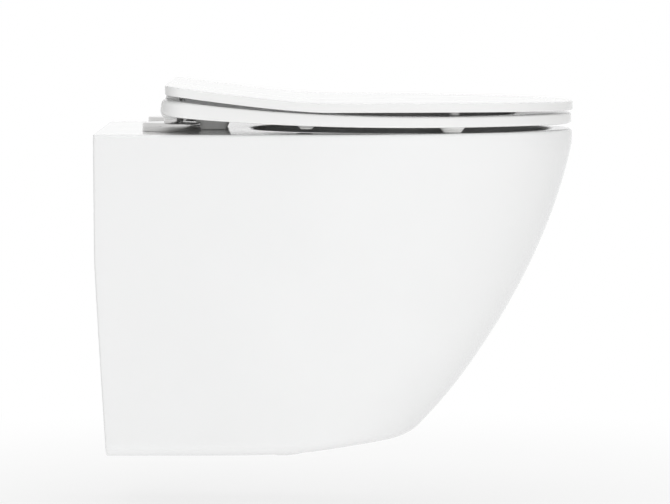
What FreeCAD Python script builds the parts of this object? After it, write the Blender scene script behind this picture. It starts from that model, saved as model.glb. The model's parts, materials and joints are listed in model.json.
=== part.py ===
import FreeCAD, Part
import os
from math import cos, pi, radians, sin

# Wall hung toilet with a soft close seat and lid, in millimetres.
# X runs across the pan, the wall is the plane Y = 0 and the pan reaches towards -Y, Z is up.
# The origin is midway between the two wall studs, on the wall.
# Helpers take x across, out from the wall and up from the rim plane, so most sizes read as they
# would on a drawing: "out" is the distance from the wall and "up" the height over the rim.

# ---------------------------------------------------------------- wall interfaces
stud_spacing = 180.0
rim_over_studs = 80.0
inlet_drop = 45.0            # inlet axis below the rim
outlet_drop = 180.0          # outlet axis below the rim
stud_hole_radius = 10.0
stud_clear_radius = 6.5      # bore left for an M12 stud
inlet_bore_radius = 27.5
inlet_wall = 9.0
flush_pipe_radius = 22.5
inlet_seal_depth = 40.0
spigot_radius = 51.0
spigot_length = 55.0
spigot_wall = 10.0

# ---------------------------------------------------------------- ceramic pan
pan_length = 490.0
pan_width = 356.0
pan_height = 330.0
glaze_wall = 11.0            # thickness of the ceramic skirt and of the bowl
deck_thickness = 16.0
back_thickness = 14.0
rim_band = 14.0              # the upright band under the rim
front_rake = 172.0           # how far the front leans back by the lower edge
front_lean = 0.38            # share of the front's rake that is a straight lean, the rest curves
side_rake = 56.0             # how far each side leans in by the lower edge
side_lean = 0.2              # the same share for the sides
side_straight = 195.0        # straight part of the side at the rim
lower_straight = 110.0       # and at the lower edge
plan_power = 2.1             # roundness of the front in plan, 2 is an ellipse
rim_round = 4.0
edge_round = 15.0            # rounding of the lower edge
edge_lip = 15.0              # the lower edge turns in by this much
edge_lip_height = 40.0
back_opening_width = 184.0
back_opening_drop = 112.0
back_relief = 8.5            # the lower back edge stands this far off the wall
back_relief_drop = 130.0
front_curve_points = 24

# ---------------------------------------------------------------- bowl and trap
bowl_rear = 158.0            # out from the wall, at the rim
rim_front_width = 25.0
rim_side_width = 45.0
bowl_power = 2.2
trap_bore_radius = 28.0
trap_wall = 11.0
trap_belly_out = 188.0       # lowest point of the trap
trap_bend = 47.0
trap_belly_drop = 258.0      # centre of the lower bend
weir_bend = 46.0
throat_ledge = 3.0           # the bowl ends this much wider and lower than the trap's mouth
bowl_wall_reach = 40.0       # the flush port runs this far past the bowl's rear
bowl_drift = 2.2             # how late the bowl's middle moves over to the throat, 1 is steadily
bowl_points = 32

# ---------------------------------------------------------------- seat hinges
hinge_spacing = 155.0
hinge_out = 75.0
hinge_up = 23.0
seat_hole_radius = 7.5
cover_radius = 30.0
cover_height = 9.5
cover_wall = 1.2
cover_edge = 0.8
base_radius = 26.0
base_thickness = 3.0
pad_thickness = 1.0
bolt_radius = 4.0
bolt_below = 62.0
bolt_flange_radius = 8.0
bolt_flange = 2.0
bolt_pin_radius = 5.0
bolt_pin_height = 8.0
barrel_radius = 8.0
barrel_length = 30.0
neck_radius = 8.0
pin_radius = 4.0
cartridge_radius = 7.0
cartridge_length = 36.0
cartridge_end = 2.0
lug_radius = 9.5
side_gap = 1.0               # between a lug and the barrel beside it
sleeve_flange_radius = 15.0
sleeve_flange = 4.0
sleeve_depth = 10.0
wing_nut_radius = 9.0
wing_nut_height = 14.0
wing_span = 32.0
wing_thickness = 4.0

# ---------------------------------------------------------------- seat and lid
seat_thickness = 11.0
seat_gap = 5.8               # seat's underside over the rim, at the front
seat_inset = 1.0             # the seat ends this far inside the rim's outline
seat_rear_out = 67.0
seat_rear_rise = 12.7        # how much higher the rear of the underside sweeps
seat_rear_extra = 6.0        # and how much thicker the rear is
seat_sweep = 330.0           # length of the swept rear part
seat_sweep_power = 2.6
seat_corner = 22.0
seat_corner_reach = 2.0      # the rear corners' outline passes this far behind the rounded rear
seat_hole_rear = 172.0
seat_front_ring = 62.0
seat_side_ring = 72.0
seat_edge_round = 2.5
lid_overhang = 0.5           # the lid ends this far outside the rim's outline
lid_rear_out = 71.0
lid_top = 31.2               # top of the lid over the rim, ahead of the sweep
lid_tip_drop = 2.4
lid_rear_rise = 17.8
lid_sweep = 160.0
lid_sweep_power = 1.35
lid_edge = 9.4               # height of the lid's edge
lid_plate = 5.0              # thickness of the lid inside its edge
lid_rim_width = 15.0
lid_corner = 18.0
lid_edge_round = 2.0
profile_points = 10

# ---------------------------------------------------------------- buffers
buffer_gap = 0.3             # between a buffer and what it comes down on
buffer_bite = 2.0            # how far a buffer's foot reaches into the seat before it is trimmed
buffer_taper = 3.0
rear_buffer_size = (22.0, 36.0)      # across, out
rear_buffer_x = 38.0
rear_buffer_out = 116.0
middle_buffer_size = (14.0, 20.0)
middle_buffer_inset = 28.0           # its middle, in from the side of the pan
middle_buffer_out = 212.0
middle_buffer_height = 4.0
front_buffer_size = (14.0, 26.0)
front_buffer_inset = 45.0
front_buffer_setback = 131.0         # its middle, back from the front of the pan
lid_buffer_size = (12.0, 12.0)
lid_buffer_inset = 60.0
lid_buffer_setback = 128.0

# ---------------------------------------------------------------- wall fixings
stud_washer_radius = 17.0
stud_washer_thickness = 3.0
stud_nut_flats = 19.0
stud_nut_height = 10.0
stud_nut_bore_radius = 6.3

# ---------------------------------------------------------------- clearances
ceramic_fit = 0.2            # plastic or rubber in a ceramic hole
running_fit = 0.05
press_allowance = 0.02
notch_gap = 2.5
past = 5.0                   # how far a cutting shape runs past what it cuts
behind_wall = 20.0           # the skirt is drawn this far behind the wall before it is trimmed

half_width = pan_width / 2
stud_x = stud_spacing / 2
hinge_x = hinge_spacing / 2
barrel_inner = hinge_x - barrel_length / 2
barrel_outer = hinge_x + barrel_length / 2
seat_lug_outer = barrel_inner - side_gap
seat_lug_inner = seat_lug_outer - cartridge_length - cartridge_end
lid_lug_inner = barrel_outer + side_gap
lid_lug_outer = lid_lug_inner + cartridge_length + cartridge_end
lid_shelf_out = lid_rear_out + lid_sweep
rear_buffer_place = (rear_buffer_x, rear_buffer_out)
middle_buffer_place = (half_width - middle_buffer_inset, middle_buffer_out)
front_buffer_place = (half_width - front_buffer_inset, pan_length - front_buffer_setback)
lid_buffer_place = (half_width - lid_buffer_inset, pan_length - lid_buffer_setback)
clear_height = rim_over_studs + pan_height   # taller than anything that it cuts
SIDES = {"left": -1, "right": 1}


def at(x, out, up):
    """A point from its place across, its distance from the wall and its height over the rim."""
    return FreeCAD.Vector(x, -out, rim_over_studs + up)


ACROSS = FreeCAD.Vector(1, 0, 0)
OUTWARDS = FreeCAD.Vector(0, -1, 0)
UP = FreeCAD.Vector(0, 0, 1)


def box(x0, x1, out0, out1, up0, up1):
    low = at(x0, out1, up0)
    return Part.makeBox(x1 - x0, out1 - out0, up1 - up0, low)


def rod(radius, length, start, direction):
    return Part.makeCylinder(radius, length, start, direction)


def fuse_all(solids):
    whole = solids[0]
    for solid in solids[1:]:
        whole = whole.fuse(solid)
    return whole.removeSplitter()


def cut_all(solid, tools):
    for tool in tools:
        solid = solid.cut(tool)
    return solid


# ---------------------------------------------------------------- outlines
def signed_power(value, power):
    return abs(value) ** power * (1 if value >= 0 else -1)


def d_outline(width_half, straight, reach, back, up):
    """A closed D in plan: square at the back, a rounded superellipse at the front."""
    points = []
    for step in range(front_curve_points + 1):
        angle = pi * step / front_curve_points
        x = width_half * signed_power(cos(angle), 2 / plan_power)
        out = straight + (reach - straight) * signed_power(sin(angle), 2 / plan_power)
        points.append(at(x, out, up))
    front = Part.BSplineCurve()
    speed = (reach - straight) * pi / front_curve_points
    front.interpolate(Points=points, InitialTangent=OUTWARDS * speed,
                      FinalTangent=OUTWARDS * -speed)
    right_back = at(width_half, back, up)
    left_back = at(-width_half, back, up)
    edges = [
        Part.makeLine(left_back, right_back),
        Part.makeLine(right_back, points[0]),
        front.toShape(),
        Part.makeLine(points[-1], left_back),
    ]
    return Part.Wire(edges)


def oval(centre_out, half_long, half_wide, up):
    """A closed superellipse in plan."""
    points = []
    for step in range(bowl_points):
        angle = 2 * pi * step / bowl_points
        x = half_wide * signed_power(sin(angle), 2 / bowl_power)
        out = centre_out - half_long * signed_power(cos(angle), 2 / bowl_power)
        points.append(at(x, out, up))
    curve = Part.BSplineCurve()
    curve.interpolate(Points=points, PeriodicFlag=True)
    return Part.Wire([curve.toShape()])


# ---------------------------------------------------------------- the ceramic pan
def skirt_section(drop, inset, back):
    """The skirt's outline at a depth below the rim, moved in by inset."""
    share = max(0.0, (drop - rim_band) / (pan_height - rim_band))
    side_share = side_lean * share + (1 - side_lean) * share ** 2
    front_share = front_lean * share + (1 - front_lean) * share ** 2
    width_half = half_width - side_rake * side_share - inset
    reach = pan_length - front_rake * front_share - inset
    straight = side_straight + (lower_straight - side_straight) * drop / pan_height
    return d_outline(width_half, straight, reach, back, -drop)


def skirt_outer():
    """The outside of the pan as one block, from the rounded rim to the rounded lower edge."""
    stations = [(0.0, rim_round)]
    for angle in (30.0, 60.0, 90.0):
        turn = radians(angle)
        stations.append((rim_round * (1 - cos(turn)), rim_round * (1 - sin(turn))))
    steps = 9
    first = rim_band
    last = pan_height - edge_round
    for step in range(steps + 1):
        stations.append((first + (last - first) * step / steps, 0.0))
    for angle in (30.0, 60.0, 90.0):
        turn = radians(angle)
        drop = last + edge_round * sin(turn)
        stations.append((drop, edge_round * (1 - cos(turn))))
    wires = [skirt_section(drop, inset, -behind_wall) for drop, inset in stations]
    return Part.makeLoft(wires, True, False)


def skirt_hollow():
    """The space inside the skirt, open underneath, narrower where the lower edge turns in."""
    wires = []
    steps = 8
    last = pan_height - edge_lip_height
    for step in range(steps + 1):
        drop = deck_thickness + (last - deck_thickness) * step / steps
        wires.append(skirt_section(drop, glaze_wall, back_thickness))
    for share in (0.35, 0.7, 1.0, 1.1):
        drop = last + edge_lip_height * share
        wires.append(skirt_section(drop, glaze_wall + edge_lip * share, back_thickness))
    return Part.makeLoft(wires, True, False)


def zone(out0, out1, drop0, drop1):
    """A block wider than the pan, between two distances from the wall and two depths."""
    return box(-half_width - past, half_width + past, out0, out1, -drop1, -drop0)


def deck_zone():
    return zone(-behind_wall - past, pan_length + past, -past, deck_thickness)


def back_opening():
    half = back_opening_width / 2
    low = -pan_height - past
    return box(-half, half, -past, back_thickness + past, low, -back_opening_drop)


def relief_wedge():
    """The relief behind the lower back edge."""
    low = -pan_height
    corners = [
        at(0, 0, -back_relief_drop),
        at(0, back_relief, low),
        at(0, back_relief, low - past),
        at(0, -past, low - past),
        at(0, -past, -back_relief_drop),
    ]
    wedge = Part.Face(Part.makePolygon(corners + [corners[0]]))
    width = pan_width + 2 * past
    wedge.translate(ACROSS * (-width / 2))
    return wedge.extrude(ACROSS * width)


def bowl_stations():
    """Depth, centre, half length and half width of the inside of the bowl, rim to throat."""
    half_long = (pan_length - rim_front_width - bowl_rear) / 2
    half_wide = half_width - rim_side_width
    middle = bowl_rear + half_long
    throat = trap_belly_out + trap_bend
    shares = [
        (-0.01, 1.0, 1.0), (0.1, 0.99, 0.99), (0.24, 0.93, 0.94), (0.42, 0.79, 0.81),
        (0.57, 0.62, 0.64), (0.71, 0.45, 0.47), (0.84, 0.3, 0.32), (0.94, 0.21, 0.23),
    ]
    stations = []
    for depth, long_share, wide_share in shares:
        drop = depth * trap_belly_drop
        centre = middle + (throat - middle) * max(0.0, depth) ** bowl_drift
        stations.append((drop, centre, half_long * long_share, half_wide * wide_share))
    mouth = trap_bore_radius + throat_ledge
    stations.append((trap_belly_drop + throat_ledge, throat, mouth, mouth))
    return stations


def bowl_inside():
    return Part.makeLoft([oval(c, a, b, -drop) for drop, c, a, b in bowl_stations()], True, False)


def bowl_outside():
    wires = []
    for drop, centre, half_long, half_wide in bowl_stations():
        drop = max(drop, deck_thickness / 2)
        wires.append(oval(centre, half_long + glaze_wall, half_wide + glaze_wall, -drop))
    return Part.makeLoft(wires, True, False)


def bend(radius, centre_out, centre_drop, bend_radius, start_angle, sweep):
    """A round bar bent in the plane X = 0. Angles run from out to up."""
    centre = at(0, centre_out, -centre_drop)
    turn = radians(start_angle)
    start = centre + (OUTWARDS * cos(turn) + UP * sin(turn)) * bend_radius
    along = OUTWARDS * -sin(turn) + UP * cos(turn)
    ring = Part.Wire([Part.makeCircle(radius, start, along)])
    return Part.Face(ring).revolve(centre, ACROSS * -1, sweep)


def trap(radius, end_radius, end_length):
    """The trap's passage, or its outside: down, round, up, over the weir and back to the wall."""
    weir_out = trap_belly_out - trap_bend - weir_bend
    weir_drop = outlet_drop + weir_bend
    legs = [bend(radius, trap_belly_out, trap_belly_drop, trap_bend, -180, 180)]
    start = at(0, trap_belly_out - trap_bend, -trap_belly_drop)
    legs.append(rod(radius, trap_belly_drop - weir_drop, start, UP))
    legs.append(bend(radius, weir_out, weir_drop, weir_bend, 0, 90))
    cone_length = weir_out - end_length
    weir = at(0, weir_out, -outlet_drop)
    legs.append(Part.makeCone(radius, end_radius, cone_length, weir, OUTWARDS * -1))
    mouth = at(0, end_length, -outlet_drop)
    legs.append(rod(end_radius, end_length, mouth, OUTWARDS * -1))
    return fuse_all(legs)


def inlet_port():
    return rod(inlet_bore_radius, bowl_rear + bowl_wall_reach, at(0, -1, -inlet_drop), OUTWARDS)


# The pan is one casting. It is kept as six regions that meet face to face, so that each of its
# hollows lies open: the deck, the skirt, the back, the bowl, the trap and the inlet.
def pan_deck():
    """The top: the rim all round the bowl and the shelf behind it, down to the skirt's hollow."""
    slab = skirt_outer().common(zone(0, pan_length + past, -past, deck_thickness))
    holes = [bowl_inside()]
    for side in SIDES.values():
        top = at(side * hinge_x, hinge_out, past)
        holes.append(rod(seat_hole_radius, deck_thickness + 2 * past, top, UP * -1))
    return cut_all(slab, holes)


def pan_skirt():
    """The sides and the front, from under the deck to the lower edge, ahead of the back."""
    ahead = zone(back_thickness, pan_length + past, deck_thickness, pan_height + past)
    shell = skirt_outer().cut(skirt_hollow()).common(ahead)
    return shell.cut(bowl_outside())


def pan_back():
    """The plate against the wall, with the stud holes and the opening around the spigot."""
    plate = skirt_outer().common(zone(0, back_thickness, deck_thickness, pan_height + past))
    holes = [back_opening(), relief_wedge(), inlet_port()]
    for side in SIDES.values():
        stud = at(side * stud_x, -1, -rim_over_studs)
        holes.append(rod(stud_hole_radius, back_thickness + 2, stud, OUTWARDS))
    return cut_all(plate, holes)


def pan_bowl():
    return cut_all(bowl_outside(), [bowl_inside(), deck_zone(), inlet_port()])


def pan_trap():
    outside = trap(trap_bore_radius + trap_wall, spigot_radius, spigot_length)
    passage = trap(trap_bore_radius, spigot_radius - spigot_wall, spigot_length)
    return cut_all(outside, [passage, bowl_outside()])


def pan_inlet():
    """The horn that takes the flush from the wall into the back of the bowl."""
    reach = bowl_rear + glaze_wall / 2 - back_thickness
    start = at(0, back_thickness, -inlet_drop)
    horn = rod(inlet_bore_radius + inlet_wall, reach, start, OUTWARDS)
    return cut_all(horn, [bowl_outside(), deck_zone(), inlet_port()])


# ---------------------------------------------------------------- seat and lid shapes
def sweep_up(out, start, run, rise, power):
    """The rise of a rear end that sweeps up: all of it at start, none past start + run."""
    share = min(1.0, max(0.0, (out - start) / run))
    return rise * (1 - share) ** power


def seat_under(out):
    return seat_gap + sweep_up(out, seat_rear_out, seat_sweep, seat_rear_rise, seat_sweep_power)


def seat_top(out):
    extra = sweep_up(out, seat_rear_out, seat_sweep, seat_rear_extra, seat_sweep_power)
    return seat_under(out) + seat_thickness + extra


def lid_upper(out):
    rise = sweep_up(out, lid_rear_out, lid_sweep, lid_rear_rise, lid_sweep_power)
    tip_share = max(0.0, (out - lid_shelf_out) / (pan_length - lid_shelf_out))
    return lid_top + rise - lid_tip_drop * tip_share ** 2


def side_curve(height, first, last):
    """The height curve as a smooth line in the plane X = 0, from near the wall outwards."""
    points = []
    for step in range(profile_points + 1):
        share = (step / profile_points) ** 1.5
        out = first + (last - first) * share
        points.append(at(0, out, height(out)))
    curve = Part.BSplineCurve()
    curve.interpolate(Points=points)
    return curve.toShape(), points[0], points[-1]


def slab(lower, upper, first, last, nose):
    """A full width slab between two height curves, with a rear end rounded by nose."""
    under, under_rear, under_front = side_curve(lower, first + nose, last)
    over, over_rear, over_front = side_curve(upper, first + nose, last)
    front = Part.makeLine(under_front, over_front)
    if nose > 0:
        tip = at(0, first, (lower(first) + upper(first)) / 2)
        rear = Part.Arc(over_rear, tip, under_rear).toShape()
    else:
        rear = Part.makeLine(over_rear, under_rear)
    edges = Part.sortEdges([under, front, over, rear])[0]
    outline = Part.Face(Part.Wire(edges))
    outline.translate(ACROSS * (-half_width - past))
    return outline.extrude(ACROSS * (pan_width + 2 * past))


def plan_prism(inset, rear_out, corner):
    """A tall block with the pan's outline in plan, moved in by inset, with rounded rear corners."""
    wire = d_outline(half_width - inset, side_straight, pan_length - inset, rear_out, -past)
    block = Part.Face(wire).extrude(UP * clear_height)
    rear = [edge for edge in block.Edges
            if len(edge.Vertexes) == 2 and abs(edge.CenterOfMass.y + rear_out) < 0.1
            and abs(edge.tangentAt(edge.FirstParameter).z) > 0.9]
    return block.makeFillet(corner, rear)


def hinge_point(x):
    return at(x, hinge_out, hinge_up)


def side_rod(radius, side, inner, outer):
    """A rod on the hinge axis, from inner to outer on one side of the pan."""
    start = hinge_point(side * inner)
    return rod(radius, outer - inner, start, ACROSS * side)


def side_box(side, inner, outer, out0, out1, up0, up1):
    low, high = sorted((side * inner, side * outer))
    return box(low, high, out0, out1, up0, up1)


def round_edges(solid, radius, keep):
    """Round the edges that keep picks."""
    whole = solid.Solids[0]
    return whole.makeFillet(radius, [edge for edge in whole.Edges if keep(edge)])


def is_curved(edge):
    return isinstance(edge.Curve, Part.BSplineCurve)


def is_level(edge):
    return edge.BoundBox.XLength > 1 or edge.BoundBox.YLength > 1


def pad(place, size, side, low, high):
    """A rounded block, narrower at its foot."""
    half_wide, half_long = size[0] / 2, size[1] / 2
    taper = min(buffer_taper, high - low)
    foot = oval(place[1], half_long - taper, half_wide - taper, low)
    waist = oval(place[1], half_long - taper / 4, half_wide - taper / 4, low + taper / 2)
    head = oval(place[1], half_long, half_wide, high)
    shape = Part.makeLoft([foot, waist, head], True, True)
    shape.translate(ACROSS * (side * place[0]))
    return shape


def seat_ring():
    blank = slab(seat_under, seat_top, seat_rear_out, pan_length + past, seat_thickness / 2)
    ring = blank.common(plan_prism(seat_inset, seat_rear_out - seat_corner_reach, seat_corner))
    front = pan_length - seat_inset - seat_front_ring
    middle = (seat_hole_rear + front) / 2
    hole = oval(middle, (front - seat_hole_rear) / 2, half_width - seat_side_ring, -past)
    ring = ring.cut(Part.Face(hole).extrude(UP * clear_height))
    ring = round_edges(ring, seat_edge_round, is_curved)
    notch_out = hinge_out + lug_radius + notch_gap
    bore = cartridge_radius + press_allowance
    for side in SIDES.values():
        outer = lid_lug_outer + side_gap
        ring = ring.cut(side_box(side, seat_lug_outer, outer, 0, notch_out, -past, clear_height))
        ring = ring.fuse(side_rod(lug_radius, side, seat_lug_inner, seat_lug_outer))
    for side in SIDES.values():
        deep = seat_lug_outer - cartridge_length
        ring = ring.cut(side_rod(bore, side, deep, seat_lug_outer + 1))
    return ring.removeSplitter()


def lid():
    def lower(out):
        return lid_upper(out) - lid_edge

    def plate_under(out):
        return lid_upper(out) - lid_plate

    def floor(out):
        return -past

    cover = slab(lower, lid_upper, lid_rear_out, pan_length + past, 0)
    cover = cover.common(plan_prism(-lid_overhang, lid_rear_out, lid_corner))
    cover = round_edges(cover, lid_edge_round, is_level)
    inner_rear = lid_rear_out + lid_rim_width
    recess = slab(floor, plate_under, lid_rear_out, pan_length + past, 0)
    inset = lid_rim_width - lid_overhang
    cover = cover.cut(recess.common(plan_prism(inset, inner_rear, lid_corner / 2)))
    bore = cartridge_radius + press_allowance
    web_front = hinge_out + lug_radius
    web_top = lid_upper(web_front) - lid_edge / 2
    for side in SIDES.values():
        web = side_box(side, lid_lug_inner, lid_lug_outer, lid_rear_out, web_front, hinge_up, web_top)
        cover = cover.fuse(web)
        cover = cover.fuse(side_rod(lug_radius, side, lid_lug_inner, lid_lug_outer))
    for side in SIDES.values():
        deep = lid_lug_inner + cartridge_length
        cover = cover.cut(side_rod(bore, side, lid_lug_inner - 1, deep))
    return cover.removeSplitter()


def seat_buffer(seat, place, size, height, side):
    """A buffer under the seat: height 0 reaches down to the rim, less the gap."""
    under = seat_under(place[1])
    low = under - height if height else buffer_gap
    high = seat_under(place[1] - size[1] / 2) + buffer_bite
    return pad(place, size, side, low, high).cut(seat)


def lid_buffer(cover, side):
    rear = lid_buffer_place[1] - lid_buffer_size[1] / 2
    low = seat_top(rear) + buffer_gap
    high = lid_upper(lid_buffer_place[1]) - lid_plate / 2
    return pad(lid_buffer_place, lid_buffer_size, side, low, high).cut(cover)


# ---------------------------------------------------------------- hinge hardware
def post_point(side, up):
    return at(side * hinge_x, hinge_out, up)


def washer_disc(radius, bore, thickness, start, direction):
    disc = rod(radius, thickness, start, direction)
    return disc.cut(rod(bore, thickness, start, direction))


def hinge_pad(side):
    bore = bolt_radius + ceramic_fit
    return washer_disc(base_radius - 1, bore, pad_thickness, post_point(side, 0), UP)


def hinge_base(side):
    bore = bolt_radius + ceramic_fit
    return washer_disc(base_radius, bore, base_thickness, post_point(side, pad_thickness), UP)


def hinge_cover(side):
    dome = rod(cover_radius, cover_height, post_point(side, 0), UP)
    top = rim_over_studs + cover_height
    dome = round_edges(dome, cover_edge, lambda edge: abs(edge.BoundBox.ZMin - top) < 0.01)
    inside = rod(cover_radius - cover_wall, cover_height - cover_wall, post_point(side, 0), UP)
    hole = rod(neck_radius + ceramic_fit * 2, cover_height + 1, post_point(side, 0), UP)
    return cut_all(dome, [inside, hole])


def flange_up():
    return pad_thickness + base_thickness


def hinge_bolt(side):
    foot = flange_up()
    shank = rod(bolt_radius, bolt_below + foot, post_point(side, -bolt_below), UP)
    flange = rod(bolt_flange_radius, bolt_flange, post_point(side, foot), UP)
    pin = rod(bolt_pin_radius, bolt_pin_height, post_point(side, foot + bolt_flange), UP)
    return fuse_all([shank, flange, pin])


def hinge_block(side):
    foot = flange_up() + bolt_flange
    neck = rod(neck_radius, hinge_up - foot, post_point(side, foot), UP)
    barrel = side_rod(barrel_radius, side, barrel_inner, barrel_outer)
    socket = rod(bolt_pin_radius + running_fit, bolt_pin_height + 1, post_point(side, foot), UP)
    bore = side_rod(pin_radius + press_allowance, side, barrel_inner - 1, barrel_outer + 1)
    return cut_all(neck.fuse(barrel), [socket, bore])


def hinge_pin(side):
    reach = cartridge_length - cartridge_end - side_gap
    return side_rod(pin_radius, side, seat_lug_outer - reach, lid_lug_inner + reach)


def cartridge(side, mouth, deep, closed):
    """A damper's housing, closed at its deep end, or a plain bush that is open at both."""
    inner, outer = sorted((mouth, deep))
    body = side_rod(cartridge_radius, side, inner, outer)
    end = cartridge_end if closed else -1
    if mouth < deep:
        bore = side_rod(pin_radius + running_fit, side, mouth - 1, deep - end)
    else:
        bore = side_rod(pin_radius + running_fit, side, deep + end, mouth + 1)
    return body.cut(bore)


def seat_cartridge(side, closed):
    return cartridge(side, seat_lug_outer, seat_lug_outer - cartridge_length, closed)


def lid_cartridge(side, closed):
    return cartridge(side, lid_lug_inner, lid_lug_inner + cartridge_length, closed)


def hinge_sleeve(side):
    plug = rod(seat_hole_radius - ceramic_fit, sleeve_depth, post_point(side, -deck_thickness), UP)
    flange = rod(sleeve_flange_radius, sleeve_flange, post_point(side, -deck_thickness), UP * -1)
    low = -deck_thickness - sleeve_flange
    bore = rod(bolt_radius + ceramic_fit, sleeve_depth + sleeve_flange, post_point(side, low), UP)
    return plug.fuse(flange).cut(bore)


def wing_nut(side):
    top = -deck_thickness - sleeve_flange
    low = top - wing_nut_height
    hub = rod(wing_nut_radius, wing_nut_height, post_point(side, low), UP)
    middle = side * hinge_x
    half = wing_thickness / 2
    wings = box(middle - half, middle + half, hinge_out - wing_span / 2, hinge_out + wing_span / 2,
                low, top - sleeve_flange)
    bore = rod(bolt_radius + running_fit, wing_nut_height, post_point(side, low), UP)
    return hub.fuse(wings).cut(bore)


# ---------------------------------------------------------------- wall fixings and seal
def stud_point(side, out):
    return at(side * stud_x, out, -rim_over_studs)


def stud_sleeve(side):
    tube = rod(stud_hole_radius - ceramic_fit, back_thickness, stud_point(side, 0), OUTWARDS)
    collar_radius = stud_washer_radius - 1
    collar = rod(collar_radius, stud_washer_thickness, stud_point(side, back_thickness), OUTWARDS)
    whole = back_thickness + stud_washer_thickness
    bore = rod(stud_clear_radius, whole, stud_point(side, 0), OUTWARDS)
    return tube.fuse(collar).cut(bore)


def stud_washer(side):
    out = back_thickness + stud_washer_thickness
    bore = stud_clear_radius + ceramic_fit
    start = stud_point(side, out)
    return washer_disc(stud_washer_radius, bore, stud_washer_thickness, start, OUTWARDS)


def stud_nut(side):
    out = back_thickness + 2 * stud_washer_thickness
    corner = stud_nut_flats / 2 / cos(pi / 6)
    points = []
    for step in range(7):
        angle = pi / 3 * step
        centre = stud_point(side, out)
        points.append(centre + (ACROSS * cos(angle) + UP * sin(angle)) * corner)
    hexagon = Part.Face(Part.makePolygon(points)).extrude(OUTWARDS * stud_nut_height)
    return hexagon.cut(rod(stud_nut_bore_radius, stud_nut_height, stud_point(side, out), OUTWARDS))


def inlet_seal():
    start = at(0, 0, -inlet_drop)
    outer = inlet_bore_radius - ceramic_fit
    return washer_disc(outer, flush_pipe_radius, inlet_seal_depth, start, OUTWARDS)


# ---------------------------------------------------------------- the whole assembly
def build_nodes():
    nodes = {
        "pan_deck": pan_deck(),
        "pan_skirt": pan_skirt(),
        "pan_back": pan_back(),
        "pan_bowl": pan_bowl(),
        "pan_trap": pan_trap(),
        "pan_inlet": pan_inlet(),
        "inlet_seal": inlet_seal(),
    }
    seat = seat_ring()
    cover = lid()
    nodes["seat_ring"] = seat
    nodes["lid"] = cover
    for name, side in SIDES.items():
        nodes["stud_sleeve_" + name] = stud_sleeve(side)
        nodes["stud_washer_" + name] = stud_washer(side)
        nodes["stud_nut_" + name] = stud_nut(side)
        nodes["hinge_pad_" + name] = hinge_pad(side)
        nodes["hinge_base_" + name] = hinge_base(side)
        nodes["hinge_cover_" + name] = hinge_cover(side)
        nodes["hinge_bolt_" + name] = hinge_bolt(side)
        nodes["hinge_block_" + name] = hinge_block(side)
        nodes["hinge_pin_" + name] = hinge_pin(side)
        nodes["hinge_sleeve_" + name] = hinge_sleeve(side)
        nodes["wing_nut_" + name] = wing_nut(side)
        nodes["rear_buffer_" + name] = seat_buffer(
            seat, rear_buffer_place, rear_buffer_size, 0, side)
        nodes["middle_buffer_" + name] = seat_buffer(
            seat, middle_buffer_place, middle_buffer_size, middle_buffer_height, side)
        nodes["front_buffer_" + name] = seat_buffer(
            seat, front_buffer_place, front_buffer_size, 0, side)
        nodes["lid_buffer_" + name] = lid_buffer(cover, side)
    left, right = SIDES["left"], SIDES["right"]
    nodes["seat_damper_left"] = seat_cartridge(left, True)
    nodes["seat_bush_right"] = seat_cartridge(right, False)
    nodes["lid_bush_left"] = lid_cartridge(left, False)
    nodes["lid_damper_right"] = lid_cartridge(right, True)
    return nodes


os.makedirs("parts", exist_ok=True)
for node_name, shape in build_nodes().items():
    solids = shape.Solids
    if not shape.isValid() or not solids:
        raise ValueError(node_name + " isn't a sound solid")
    print(f"{node_name}: {len(solids)} solid, {shape.Volume / 1000:.1f} cm3")
    shape.exportStep("parts/" + node_name + ".step")
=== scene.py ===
"""A wall hung toilet seen from its side: the looks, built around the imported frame.

Every shape is worked out in millimetres as (across, out, up): across the pan, out from the wall and
up from the rim. Solid.place turns that into the frame's metres. A loop is one closed line round the
pan, a ring is a loop with its heights, and each piece is a stack of rings, or a few stacks joined.
"""
from __future__ import annotations

import json
import logging
from dataclasses import dataclass
from enum import Enum
from math import pi, radians, tan

import bpy
import numpy as np
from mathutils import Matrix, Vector

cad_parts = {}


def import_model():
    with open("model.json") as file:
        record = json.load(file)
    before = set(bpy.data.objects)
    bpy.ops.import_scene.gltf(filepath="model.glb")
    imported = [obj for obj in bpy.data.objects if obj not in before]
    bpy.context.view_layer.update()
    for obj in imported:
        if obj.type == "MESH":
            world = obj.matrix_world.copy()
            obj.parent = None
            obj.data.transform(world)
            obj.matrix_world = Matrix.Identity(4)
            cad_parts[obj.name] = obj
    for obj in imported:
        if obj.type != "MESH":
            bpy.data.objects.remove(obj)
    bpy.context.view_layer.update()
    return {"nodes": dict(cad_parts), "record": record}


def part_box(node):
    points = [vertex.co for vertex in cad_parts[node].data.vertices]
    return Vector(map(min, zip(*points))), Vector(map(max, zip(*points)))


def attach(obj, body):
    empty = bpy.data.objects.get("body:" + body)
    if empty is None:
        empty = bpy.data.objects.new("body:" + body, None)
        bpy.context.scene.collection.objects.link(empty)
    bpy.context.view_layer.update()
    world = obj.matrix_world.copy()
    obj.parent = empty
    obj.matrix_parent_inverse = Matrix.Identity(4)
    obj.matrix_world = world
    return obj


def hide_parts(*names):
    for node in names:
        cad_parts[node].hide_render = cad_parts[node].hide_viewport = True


LOG = logging.getLogger("toilet")
MM = 0.001
WHITE = (1.0, 1.0, 1.0, 1.0)
Array = np.ndarray
Piece = bpy.types.Object
Socket = bpy.types.NodeSocket
NodeTree = bpy.types.NodeTree
Material = bpy.types.Material
Place = tuple[float, float, float]
Color = tuple[float, float, float]
Profile = list[tuple[float, float]]


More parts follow.
